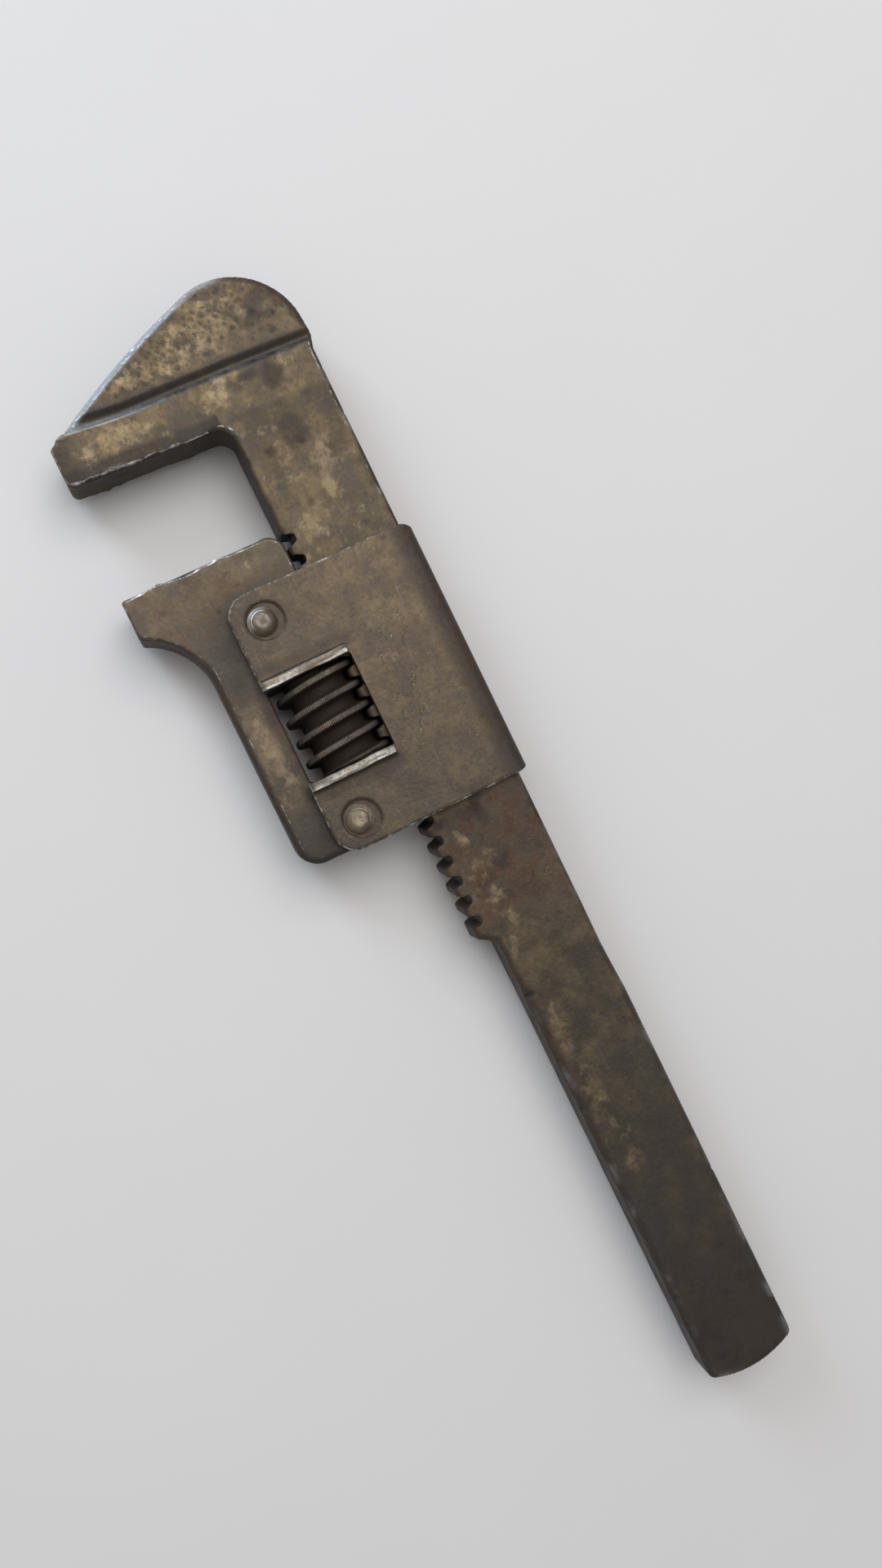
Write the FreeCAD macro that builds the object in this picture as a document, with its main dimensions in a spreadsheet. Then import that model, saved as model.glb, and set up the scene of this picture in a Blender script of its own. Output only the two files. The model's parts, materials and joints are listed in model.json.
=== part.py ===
"""Adjustable wrench of the sleeve type: a bar with a fixed jaw, and a jaw that a worm moves along it.

The wrench lies flat. +X runs along the bar toward the head, +Y toward the open side of the jaws,
and +Z up. Inside the script every piece is drawn in one local frame: x is the distance from the
butt of the handle, y the distance from a line just behind the bar's back edge, and z the height
above the middle plane. The pieces are symmetric about that plane. Lengths are in millimetres.
"""
import FreeCAD, Part
import math
import os
import Sketcher

SIZES = [
    # overall
    ("length", 234.2, "butt of the handle to the crown of the head"),
    ("bar_thick", 10.2, "thickness of bar, handle and head"),
    ("edge_round", 1.0, "rounding of the forged edges"),
    # bar and handle
    ("bar_back", 0.4, "back edge of the bar"),
    ("bar_front", 21.85, "front edge of the bar, and tips of the rack"),
    ("handle_back", -0.1, "back edge of the handle"),
    ("handle_front", 18.6, "front edge of the handle"),
    ("handle_top", 78.0, "where the handle's back begins to step in to the bar"),
    ("bar_foot", 88.0, "where that step ends"),
    ("shoulder_low", 97.4, "foot of the shoulder under the rack"),
    ("shoulder_high", 99.4, "top of the shoulder under the rack"),
    ("butt_radius", 22.0, "radius of the butt's arc"),
    ("butt_round", 1.6, "rounding of the butt's corners"),
    # head and fixed jaw
    ("throat", 207.15, "fixed jaw face at its inner end"),
    ("jaw_tip", 208.05, "fixed jaw face at its tip"),
    ("throat_radius", 3.0, "fillet between bar and fixed jaw"),
    ("fixed_reach", 53.6, "tip of the fixed jaw"),
    ("nose_high", 215.9, "upper corner of the fixed jaw's nose"),
    ("brow_radius", 180.0, "radius of the head's long sloping edge"),
    ("crown_radius", 14.2, "radius of the crown"),
    ("crown_turn", 16.6, "angle past the crown's top where the sloping edge meets it"),
    ("head_back", -0.35, "back edge of the head"),
    ("head_foot", 214.6, "where the head's back begins to swell"),
    ("head_swell", 217.2, "where the swelling ends"),
    ("groove_low", 216.6, "lower edge of the groove across the head"),
    ("groove_deep", 217.2, "deepest line of the groove"),
    ("groove_high", 219.6, "upper edge of the groove"),
    ("groove_depth", 0.7, "depth of the groove"),
    # rack and worm
    ("pitch", 4.2333, "pitch of rack and worm, six threads per inch"),
    ("flank_angle", 15.0, "angle of the flanks of rack and worm, in degrees"),
    ("slot_first", 183.63, "rack slot nearest the head, at the middle plane"),
    ("slot_count", 20, "number of rack slots"),
    ("slot_depth", 2.15, "depth of a rack slot"),
    ("slot_mouth", 2.67, "width of a rack slot at the tooth tips"),
    ("slot_lean", 5.0, "lean of the slots across the bar, in degrees"),
    ("worm_axis", 28.15, "axis of the worm"),
    ("worm_radius", 8.3, "outer radius of the worm"),
    ("worm_root", 5.95, "root radius of the worm's thread"),
    ("worm_bore", 1.85, "radius of the worm's bore"),
    ("worm_low", 140.15, "lower end of the worm"),
    ("worm_high", 158.95, "upper end of the worm"),
    ("worm_bevel", 0.5, "bevel at the worm's ends"),
    ("crest_width", 1.2, "width of the thread's crest"),
    ("valley_at", 137.06, "a thread valley on the side away from the rack"),
    # sliding jaw
    ("jaw_thick", 10.3, "thickness of the sliding jaw"),
    ("jaw_face", 185.5, "face of the sliding jaw"),
    ("jaw_reach", 54.2, "tip of the sliding jaw"),
    ("jaw_back", 22.1, "back edge of the sliding jaw"),
    ("jaw_heel", 3.4, "rounding where the jaw face meets the back edge"),
    ("nose_low", 177.5, "underside of the sliding jaw at its tip"),
    ("hollow_radius", 13.6, "radius of the hollow under the jaw"),
    ("hollow_foot", 164.0, "where the hollow meets the stem"),
    ("stem_front", 45.4, "front edge of the stem"),
    ("stem_low", 125.5, "lower end of the stem"),
    ("stem_round", 4.5, "rounding of the stem's lower corner"),
    ("recess_front", 37.35, "bottom of the worm's recess"),
    ("recess_low", 140.05, "lower wall of the worm's recess"),
    ("recess_high", 159.05, "upper wall of the worm's recess"),
    ("pin_radius", 1.77, "radius of the worm's pin"),
    ("pin_seat", 1.8, "radius of the pin's hole in the jaw"),
    ("pin_low", 125.9, "lower end of the pin"),
    ("pin_high", 165.0, "upper end of the pin, at the bottom of its blind hole"),
    # sleeve
    ("sheet", 1.7, "thickness of the sleeve's sheet"),
    ("sleeve_gap", 5.15, "half the space between the cheeks"),
    ("sleeve_back", -1.4, "outside of the sleeve behind the bar"),
    ("sleeve_front", 38.1, "front edge of the cheeks"),
    ("sleeve_low", 124.8, "lower end of the sleeve"),
    ("sleeve_high", 177.1, "upper end of the sleeve"),
    ("sleeve_bend", 0.9, "inner radius of the sleeve's bends"),
    ("sleeve_corner", 4.5, "rounding of the cheeks' front corners"),
    ("notch_back", 20.2, "back edge of the notch in each cheek"),
    ("lip_slit", 0.35, "relief slit between a lip and the cheek"),
    ("lip_height", 1.5, "height of the lips above the cheeks"),
    # rivets
    ("rivet_shank", 2.27, "radius of a rivet's shank"),
    ("rivet_hole", 2.3, "radius of a rivet's hole"),
    ("rivet_head", 3.0, "radius of a rivet's domed head"),
    ("rivet_dome", 1.5, "height of a rivet's dome"),
    ("dish_radius", 3.7, "radius of the shallow dish round a rivet"),
    ("dish_depth", 0.35, "depth of that dish"),
    ("dish_offset", 0.6, "how far the dish lies behind its rivet"),
    ("rivet_across", 32.4, "distance of the rivets from the back"),
    ("upper_rivet_at", 171.0, "upper rivet along the bar"),
    ("lower_rivet_at", 130.1, "lower rivet along the bar"),
]

PLANES = {"XY": "XY_Plane", "XZ": "XZ_Plane", "YZ": "YZ_Plane"}
SHEET_NAME = "dim"
MERGE = 1e-4          # two points closer than this are the same point
FAR = 60.0            # a length that reaches past any piece from its own middle

document = FreeCAD.newDocument("adjustable_wrench")
sheet = document.addObject("Spreadsheet::Sheet", SHEET_NAME)
for row, (alias, number, note) in enumerate(SIZES, start=1):
    sheet.set("A%d" % row, alias)
    sheet.set("B%d" % row, str(number))
    sheet.set("C%d" % row, note)
    sheet.setAlias("B%d" % row, alias)
document.recompute()


def value(formula):
    """The number that a formula on the sheet's cells gives now."""
    result = sheet.evalExpression(formula)
    return float(getattr(result, "Value", result))


def bind(feature, prop, formula):
    """Tie a property to a formula on the sheet's cells."""
    feature.setExpression(prop, formula)


def new_body(name):
    """A body whose local frame is the wrench's own: butt, back line and middle plane."""
    body = document.addObject("PartDesign::Body", name)
    body.Label = name
    place(body)
    return body


def place(feature, along="0", across="0"):
    """Put a piece's origin at a distance from the butt and from the back line."""
    bind(feature, "Placement.Base.x", "%s - dim.length / 2" % along)
    bind(feature, "Placement.Base.y", "%s - (dim.jaw_reach + dim.sleeve_back) / 2" % across)
    bind(feature, "Placement.Base.z", "dim.sleeve_gap + dim.sheet + dim.lip_height")


def new_sketch(body, name, plane, offset=None):
    """A sketch on one of the body's origin planes, lifted off it by a formula if given."""
    sketch = body.newObject("Sketcher::SketchObject", name)
    for feature in body.Origin.OriginFeatures:
        if feature.Role == PLANES[plane]:
            sketch.AttachmentSupport = [(feature, "")]
    sketch.MapMode = "FlatFace"
    if offset:
        bind(sketch, "AttachmentOffset.Base.z", offset)
    return sketch


def fix_point(sketch, geometry, position, x_formula, y_formula):
    """Tie a point of the sketch to the sheet, measured from the sketch's origin."""
    for kind, formula in (("DistanceX", x_formula), ("DistanceY", y_formula)):
        index = sketch.addConstraint(
            Sketcher.Constraint(kind, -1, 1, geometry, position, value(formula)))
        bind(sketch, "Constraints[%d]" % index, formula)


def arc_between(start, end, radius):
    """The short arc between two points, and whether it runs backward from end to start.

    A positive radius bulges to the right of the run from start to end, a negative one to the left.
    """
    chord = end - start
    middle = (start + end) * 0.5
    left = FreeCAD.Vector(-chord.y, chord.x, 0) / chord.Length
    to_centre = math.sqrt(radius * radius - chord.Length * chord.Length / 4)
    centre = middle + left * math.copysign(to_centre, radius)
    first, last = (start, end) if radius > 0 else (end, start)
    angles = [math.atan2(point.y - centre.y, point.x - centre.x) for point in (first, last)]
    if angles[1] < angles[0]:
        angles[1] += 2 * math.pi
    circle = Part.Circle(centre, FreeCAD.Vector(0, 0, 1), abs(radius))
    return Part.ArcOfCircle(circle, *angles), radius < 0


def add_loop(sketch, corners):
    """Draw a closed outline. Each corner is (x, y), or (x, y, radius) where an arc follows it."""
    points = [FreeCAD.Vector(value(corner[0]), value(corner[1]), 0) for corner in corners]
    ends = []
    for index, corner in enumerate(corners):
        start, end = points[index], points[(index + 1) % len(points)]
        if len(corner) == 3:
            arc, backward = arc_between(start, end, value(corner[2]))
            geometry = sketch.addGeometry(arc, False)
            ends.append((geometry, 2, 1) if backward else (geometry, 1, 2))
        else:
            geometry = sketch.addGeometry(Part.LineSegment(start, end), False)
            ends.append((geometry, 1, 2))
    for index, corner in enumerate(corners):
        geometry, first, last = ends[index]
        following, following_first, _ = ends[(index + 1) % len(ends)]
        sketch.addConstraint(Sketcher.Constraint("Coincident", geometry, last, following, following_first))
        fix_point(sketch, geometry, first, corner[0], corner[1])
        if len(corner) == 3:
            size = sketch.addConstraint(Sketcher.Constraint("Radius", geometry, abs(value(corner[2]))))
            bind(sketch, "Constraints[%d]" % size, "abs(%s)" % corner[2])


def add_circle(sketch, x_formula, y_formula, radius_formula):
    """Draw a circle tied to the sheet."""
    centre = FreeCAD.Vector(value(x_formula), value(y_formula), 0)
    circle = Part.Circle(centre, FreeCAD.Vector(0, 0, 1), value(radius_formula))
    geometry = sketch.addGeometry(circle, False)
    fix_point(sketch, geometry, 3, x_formula, y_formula)
    size = sketch.addConstraint(Sketcher.Constraint("Radius", geometry, circle.Radius))
    bind(sketch, "Constraints[%d]" % size, radius_formula)


def extrude(body, name, kind, sketch, length, symmetric=True):
    """Pad or pocket a sketch by a formula's length, on both sides of it or along its normal."""
    feature = body.newObject(kind, name)
    feature.Profile = sketch
    bind(feature, "Length", length)
    if symmetric:
        feature.SideType = "Symmetric"
    sketch.Visibility = False
    return feature


def checked_cut(body, feature):
    """Recompute and make sure that a cut took material away."""
    document.recompute()
    if not feature.Shape.Volume < feature.BaseFeature.Shape.Volume - MERGE:
        raise RuntimeError("%s: %s cuts nothing" % (body.Label, feature.Name))


def cut(body, name, sketch, length, symmetric=True, flip=False):
    """Pocket a sketch and check that it cut something."""
    feature = extrude(body, name, "PartDesign::Pocket", sketch, length, symmetric)
    feature.Reversed = flip
    checked_cut(body, feature)
    return feature


def edges_where(feature, wanted):
    """Names of the feature's edges for which wanted(edge) is true."""
    return ["Edge%d" % (index + 1) for index, edge in enumerate(feature.Shape.Edges) if wanted(edge)]


def upright_at(*spots):
    """A test for edges that stand along z at one of the given (x, y) formulas."""
    places = [(value(x), value(y)) for x, y in spots]

    def wanted(edge):
        box = edge.BoundBox
        middle = (box.XMin + box.XMax) / 2, (box.YMin + box.YMax) / 2
        stands = box.ZLength > max(box.XLength, box.YLength)
        return stands and any(math.dist(middle, spot) < 0.05 for spot in places)
    return wanted


def on_faces(half_thickness):
    """A test for edges that lie in the top or bottom face of a plate."""
    height = value(half_thickness)

    def wanted(edge):
        box = edge.BoundBox
        return box.ZLength < MERGE and abs(abs(box.ZMin) - height) < MERGE
    return wanted


def round_edges(body, name, base, wanted, radius):
    """Fillet the edges that pass the test."""
    document.recompute()
    fillet = body.newObject("PartDesign::Fillet", name)
    fillet.Base = (base, edges_where(base, wanted))
    bind(fillet, "Radius", radius)
    document.recompute()
    return fillet


def make_fixed_jaw_bar():
    """Handle, bar with its rack, and head with the fixed jaw, forged in one piece."""
    body = new_body("fixed_jaw_bar")
    outline = new_sketch(body, "bar_outline", "XY")
    half_handle = "((dim.handle_front - dim.handle_back) / 2)"
    butt_rise = "(dim.butt_radius - sqrt(dim.butt_radius^2 - %s^2))" % half_handle
    crown_join = "dim.length - dim.crown_radius * (1 - cos(dim.crown_turn * 1deg))"
    crown_side = "dim.head_back + dim.crown_radius * (1 + sin(dim.crown_turn * 1deg))"
    add_loop(outline, [
        (butt_rise, "dim.handle_back"),
        ("dim.handle_top", "dim.handle_back"),
        ("dim.bar_foot", "dim.bar_back"),
        ("dim.head_foot", "dim.bar_back"),
        ("dim.head_swell", "dim.head_back"),
        ("dim.length - dim.crown_radius", "dim.head_back", "dim.crown_radius"),
        (crown_join, crown_side, "dim.brow_radius"),
        ("dim.nose_high", "dim.fixed_reach"),
        ("dim.jaw_tip", "dim.fixed_reach"),
        ("dim.throat", "dim.bar_front"),
        ("dim.shoulder_high", "dim.bar_front"),
        ("dim.shoulder_low", "dim.handle_front"),
        (butt_rise, "dim.handle_front", "dim.butt_radius"),
    ])
    bar = extrude(body, "bar_forging", "PartDesign::Pad", outline, "dim.bar_thick")
    throat = round_edges(body, "throat_fillet", bar,
                         upright_at(("dim.throat", "dim.bar_front")), "dim.throat_radius")
    butt = round_edges(body, "butt_corners", throat,
                       upright_at((butt_rise, "dim.handle_back"),
                                  (butt_rise, "dim.handle_front"),
                                  ("dim.jaw_tip", "dim.fixed_reach")), "dim.butt_round")
    round_edges(body, "forged_edges", butt, on_faces("dim.bar_thick / 2"), "dim.edge_round")

    groove = new_sketch(body, "groove_section", "XZ")
    for side in ("", "-"):
        add_loop(groove, [
            ("dim.groove_low", "%sdim.bar_thick / 2" % side),
            ("dim.groove_deep", "%s(dim.bar_thick / 2 - dim.groove_depth)" % side),
            ("dim.groove_high", "%sdim.bar_thick / 2" % side),
            ("dim.groove_high", "%s(dim.bar_thick / 2 + 1)" % side),
            ("dim.groove_low", "%s(dim.bar_thick / 2 + 1)" % side),
        ])
    cut(body, "head_groove", groove, "2 * %g" % (2 * FAR))

    slot = new_sketch(body, "slot_section", "XY")
    flare = "tan(dim.flank_angle * 1deg)"
    mouth = "(dim.slot_mouth / 2 + %s)" % flare
    floor = "(dim.slot_mouth / 2 - dim.slot_depth * %s)" % flare
    add_loop(slot, [
        ("dim.slot_first - %s" % floor, "dim.bar_front - dim.slot_depth"),
        ("dim.slot_first + %s" % floor, "dim.bar_front - dim.slot_depth"),
        ("dim.slot_first + %s" % mouth, "dim.bar_front + 1"),
        ("dim.slot_first - %s" % mouth, "dim.bar_front + 1"),
    ])
    first_slot = extrude(body, "first_slot", "PartDesign::Pocket", slot, "2 * dim.bar_thick")
    first_slot.UseCustomVector = True
    lean = math.radians(value("dim.slot_lean"))
    first_slot.Direction = FreeCAD.Vector(-math.sin(lean), 0, math.cos(lean))
    checked_cut(body, first_slot)

    rack = body.newObject("PartDesign::LinearPattern", "rack")
    rack.Originals = [first_slot]
    rack.Direction = (slot, ["H_Axis"])
    rack.Reversed = True
    bind(rack, "Length", "dim.pitch * (dim.slot_count - 1)")
    bind(rack, "Occurrences", "dim.slot_count")
    body.Tip = rack
    return body


def make_sliding_jaw():
    """The movable jaw: a flat forging with a nose, a stem, and a recess for the worm."""
    body = new_body("sliding_jaw")
    outline = new_sketch(body, "jaw_outline", "XY")
    add_loop(outline, [
        ("dim.stem_low", "dim.jaw_back"),
        ("dim.recess_low", "dim.jaw_back"),
        ("dim.recess_low", "dim.recess_front"),
        ("dim.recess_high", "dim.recess_front"),
        ("dim.recess_high", "dim.jaw_back"),
        ("dim.jaw_face", "dim.jaw_back"),
        ("dim.jaw_face", "dim.jaw_reach"),
        ("dim.nose_low", "dim.jaw_reach", "-dim.hollow_radius"),
        ("dim.hollow_foot", "dim.stem_front"),
        ("dim.stem_low", "dim.stem_front"),
    ])
    jaw = extrude(body, "jaw_forging", "PartDesign::Pad", outline, "dim.jaw_thick")
    heel = round_edges(body, "jaw_heel_round", jaw,
                       upright_at(("dim.jaw_face", "dim.jaw_back")), "dim.jaw_heel")
    stem = round_edges(body, "stem_corner", heel,
                       upright_at(("dim.stem_low", "dim.stem_front")), "dim.stem_round")
    corners = round_edges(body, "small_corners", stem,
                          upright_at(("dim.stem_low", "dim.jaw_back"),
                                     ("dim.recess_low", "dim.recess_front"),
                                     ("dim.recess_high", "dim.recess_front"),
                                     ("dim.jaw_face", "dim.jaw_reach"),
                                     ("dim.nose_low", "dim.jaw_reach")), "dim.edge_round * 0.7")
    round_edges(body, "forged_edges", corners, on_faces("dim.jaw_thick / 2"), "dim.edge_round * 0.7")

    pin_hole = new_sketch(body, "pin_hole_section", "YZ", "dim.stem_low - 1")
    add_circle(pin_hole, "dim.worm_axis", "0", "dim.pin_seat")
    cut(body, "pin_hole", pin_hole, "dim.pin_high - dim.stem_low + 1", symmetric=False, flip=True)

    rivet_holes = new_sketch(body, "rivet_hole_section", "XY")
    for spot in ("dim.upper_rivet_at", "dim.lower_rivet_at"):
        add_circle(rivet_holes, spot, "dim.rivet_across", "dim.rivet_hole")
    cut(body, "rivet_holes", rivet_holes, "2 * dim.jaw_thick")
    return body


def lip_outline(end_sign, face_sign):
    """One lip's section: the cheek's edge turned outward through a quarter circle.

    end_sign is 1 for the lip at the notch's upper end and -1 for its lower end.
    face_sign is 1 for the cheek on top and -1 for the one below.
    """
    wall = "dim.recess_high" if end_sign > 0 else "dim.recess_low"
    bulge = "-" if end_sign * face_sign > 0 else ""
    counter = "" if bulge else "-"

    def corner(away, height, radius=None):
        point = ("%s + %d * (%s)" % (wall, end_sign, away), "%d * (%s)" % (face_sign, height))
        return point + (radius,) if radius else point

    top = "dim.sleeve_gap + dim.sheet + dim.lip_height"
    bend_centre = "dim.sleeve_gap + dim.sheet + dim.sleeve_bend"
    foot = "dim.sheet + dim.sleeve_bend"
    return [
        corner(foot, "dim.sleeve_gap", bulge + "(dim.sheet + dim.sleeve_bend)"),
        corner("0", bend_centre),
        corner("0", top),
        corner("dim.sheet", top),
        corner("dim.sheet", bend_centre, counter + "dim.sleeve_bend"),
        corner(foot, "dim.sleeve_gap + dim.sheet"),
    ]


def make_sleeve():
    """Sheet steel folded round the bar's back, with a notch and two lips in each cheek."""
    body = new_body("sleeve")
    section = new_sketch(body, "fold_section", "YZ", "dim.sleeve_low")
    outer = "(dim.sleeve_gap + dim.sheet)"
    turn = "(dim.sleeve_back + dim.sheet + dim.sleeve_bend)"
    bend = "(dim.sleeve_gap - dim.sleeve_bend)"
    add_loop(section, [
        ("dim.sleeve_front", "-" + outer),
        ("dim.sleeve_front", "-dim.sleeve_gap"),
        (turn, "-dim.sleeve_gap", "-dim.sleeve_bend"),
        ("dim.sleeve_back + dim.sheet", "-" + bend),
        ("dim.sleeve_back + dim.sheet", bend, "-dim.sleeve_bend"),
        (turn, "dim.sleeve_gap"),
        ("dim.sleeve_front", "dim.sleeve_gap"),
        ("dim.sleeve_front", outer),
        (turn, outer, "dim.sheet + dim.sleeve_bend"),
        ("dim.sleeve_back", bend),
        ("dim.sleeve_back", "-" + bend, "dim.sheet + dim.sleeve_bend"),
        (turn, "-" + outer),
    ])
    fold = extrude(body, "fold", "PartDesign::Pad", section, "dim.sleeve_high - dim.sleeve_low",
                   symmetric=False)
    round_edges(body, "cheek_corners", fold,
                upright_at(("dim.sleeve_low", "dim.sleeve_front"),
                           ("dim.sleeve_high", "dim.sleeve_front")), "dim.sleeve_corner")

    notch = new_sketch(body, "notch_outline", "XY")
    bend_room = "(dim.sheet + dim.sleeve_bend)"
    add_loop(notch, [
        ("dim.recess_low - %s" % bend_room, "dim.notch_back"),
        ("dim.recess_high + %s" % bend_room, "dim.notch_back"),
        ("dim.recess_high + %s" % bend_room, "dim.sleeve_front + 1"),
        ("dim.recess_low - %s" % bend_room, "dim.sleeve_front + 1"),
    ])
    cut(body, "notch", notch, "2 * %g" % FAR)

    lips = new_sketch(body, "lip_sections", "XZ", "-(dim.notch_back + dim.lip_slit + dim.sleeve_front) / 2")
    for end_sign in (1, -1):
        for face_sign in (1, -1):
            add_loop(lips, lip_outline(end_sign, face_sign))
    extrude(body, "lips", "PartDesign::Pad", lips, "dim.sleeve_front - dim.notch_back - dim.lip_slit")

    rivet_holes = new_sketch(body, "rivet_hole_section", "XY")
    for spot in ("dim.upper_rivet_at", "dim.lower_rivet_at"):
        add_circle(rivet_holes, spot, "dim.rivet_across", "dim.rivet_hole")
    cut(body, "rivet_holes", rivet_holes, "2 * %g" % FAR)
    for side, flip in (("", True), ("-", False)):
        name = "upper_dishes" if flip else "lower_dishes"
        dishes = new_sketch(body, name + "_section", "XY",
                            "%s(dim.sleeve_gap + dim.sheet - dim.dish_depth)" % side)
        for spot in ("dim.upper_rivet_at", "dim.lower_rivet_at"):
            add_circle(dishes, spot, "dim.rivet_across - dim.dish_offset", "dim.dish_radius")
        cut(body, name, dishes, "dim.dish_depth + 1", symmetric=False, flip=flip)
    return body


def make_rivet(name, along):
    """A rivet with a domed head on each cheek."""
    body = new_body(name)
    place(body, along, "dim.rivet_across")
    section = new_sketch(body, name + "_section", "XZ")
    seat = "(dim.sleeve_gap + dim.sheet - dim.dish_depth)"
    dome = "((dim.rivet_head^2 + dim.rivet_dome^2) / (2 * dim.rivet_dome))"
    add_loop(section, [
        ("0", "-(%s + dim.rivet_dome)" % seat, dome),
        ("dim.rivet_head", "-" + seat),
        ("dim.rivet_shank", "-" + seat),
        ("dim.rivet_shank", seat),
        ("dim.rivet_head", seat, dome),
        ("0", "%s + dim.rivet_dome" % seat),
    ])
    rivet = body.newObject("PartDesign::Revolution", name + "_form")
    rivet.Profile = section
    rivet.ReferenceAxis = (section, ["V_Axis"])
    rivet.Angle = 360
    return body


def make_worm():
    """The worm: a single right-hand thread on a drilled barrel."""
    body = new_body("adjusting_worm")
    place(body, "dim.worm_low", "dim.worm_axis")
    barrel_section = new_sketch(body, "barrel_section", "XY")
    width = "(dim.worm_high - dim.worm_low)"
    add_loop(barrel_section, [
        ("0", "dim.worm_bore"),
        (width, "dim.worm_bore"),
        (width, "dim.worm_radius - dim.worm_bevel"),
        ("%s - dim.worm_bevel" % width, "dim.worm_radius"),
        ("dim.worm_bevel", "dim.worm_radius"),
        ("0", "dim.worm_radius - dim.worm_bevel"),
    ])
    barrel = body.newObject("PartDesign::Revolution", "barrel")
    barrel.Profile = barrel_section
    barrel.ReferenceAxis = (barrel_section, ["H_Axis"])
    barrel.Angle = 360
    document.recompute()

    valley = new_sketch(body, "valley_section", "XY")
    flare = "tan(dim.flank_angle * 1deg)"
    mouth = "((dim.pitch - dim.crest_width) / 2 + %s)" % flare
    floor = "((dim.pitch - dim.crest_width) / 2 - (dim.worm_radius - dim.worm_root) * %s)" % flare
    start = "(dim.valley_at - dim.worm_low)"
    add_loop(valley, [
        ("%s - %s" % (start, floor), "dim.worm_root"),
        ("%s + %s" % (start, floor), "dim.worm_root"),
        ("%s + %s" % (start, mouth), "dim.worm_radius + 1"),
        ("%s - %s" % (start, mouth), "dim.worm_radius + 1"),
    ])
    thread = body.newObject("PartDesign::SubtractiveHelix", "thread")
    thread.Profile = valley
    thread.ReferenceAxis = (valley, ["H_Axis"])
    thread.Mode = "pitch-height-angle"
    bind(thread, "Pitch", "dim.pitch")
    bind(thread, "Height", "dim.pitch * 6")
    thread.Angle = 0
    thread.LeftHanded = False
    thread.Reversed = False
    checked_cut(body, thread)
    return body


def make_pin():
    """The worm's plain pin."""
    pin = document.addObject("Part::Cylinder", "worm_pin")
    pin.Label = "worm_pin"
    bind(pin, "Radius", "dim.pin_radius")
    bind(pin, "Height", "dim.pin_high - dim.pin_low")
    pin.Placement = FreeCAD.Placement(FreeCAD.Vector(), FreeCAD.Rotation(FreeCAD.Vector(0, 1, 0), 90))
    place(pin, "dim.pin_low", "dim.worm_axis")
    return pin


def check_states():
    """Stop if any object of the document failed to compute."""
    for feature in document.Objects:
        for state in feature.State:
            if state in ("Invalid", "Error"):
                raise RuntimeError("%s is %s" % (feature.Name, state))


def export(pieces):
    """Check each piece's solid and write it."""
    os.makedirs("parts", exist_ok=True)
    for piece in pieces:
        shape = piece.Shape
        if shape.isNull() or not shape.isValid() or len(shape.Solids) != 1:
            raise RuntimeError("%s is not one valid solid" % piece.Label)
        shape.exportStep("parts/%s.step" % piece.Label)
        print("%-16s volume %9.1f mm3" % (piece.Label, shape.Volume))


pieces = [
    make_fixed_jaw_bar(),
    make_sliding_jaw(),
    make_sleeve(),
    make_rivet("upper_rivet", "dim.upper_rivet_at"),
    make_rivet("lower_rivet", "dim.lower_rivet_at"),
    make_worm(),
    make_pin(),
]
document.recompute()
check_states()
export(pieces)
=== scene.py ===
"""Looks of a sleeve-type adjustable wrench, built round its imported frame.

Every visible piece but the pin, which keeps its CAD shape, is a worn copy of its CAD node or a mesh
of its own. Local lengths are in millimetres, as (along, across, up): along runs from the butt of the
handle toward the head, across from a line just behind the bar's back edge toward the jaws' tips,
and up from the wrench's middle plane.
"""
import json
import math

import bmesh
import bpy
import numpy as np
from mathutils import Matrix, Vector
from mathutils.kdtree import KDTree


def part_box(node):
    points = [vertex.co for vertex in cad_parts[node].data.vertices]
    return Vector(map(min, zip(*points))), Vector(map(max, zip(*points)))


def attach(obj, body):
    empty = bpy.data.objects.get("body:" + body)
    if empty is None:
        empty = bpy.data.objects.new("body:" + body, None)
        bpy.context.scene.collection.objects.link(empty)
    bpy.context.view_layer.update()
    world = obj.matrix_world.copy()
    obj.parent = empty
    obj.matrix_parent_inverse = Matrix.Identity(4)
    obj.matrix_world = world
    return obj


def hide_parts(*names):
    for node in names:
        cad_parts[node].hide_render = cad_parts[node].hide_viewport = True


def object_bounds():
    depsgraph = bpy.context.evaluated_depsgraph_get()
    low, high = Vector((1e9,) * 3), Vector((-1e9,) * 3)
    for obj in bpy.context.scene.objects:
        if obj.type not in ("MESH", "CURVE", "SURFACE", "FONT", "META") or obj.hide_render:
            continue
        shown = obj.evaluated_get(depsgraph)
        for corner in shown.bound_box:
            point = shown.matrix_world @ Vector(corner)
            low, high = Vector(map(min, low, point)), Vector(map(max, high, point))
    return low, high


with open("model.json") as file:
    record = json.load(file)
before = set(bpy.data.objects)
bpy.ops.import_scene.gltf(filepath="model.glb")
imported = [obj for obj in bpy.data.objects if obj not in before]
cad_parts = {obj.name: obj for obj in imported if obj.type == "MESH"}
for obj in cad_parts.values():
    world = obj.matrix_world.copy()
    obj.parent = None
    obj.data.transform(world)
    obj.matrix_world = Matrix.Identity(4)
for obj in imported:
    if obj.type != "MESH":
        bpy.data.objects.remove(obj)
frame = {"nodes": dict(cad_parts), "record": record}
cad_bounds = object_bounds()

MM = 0.001
UP = Vector((0, 0, 1))

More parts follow.
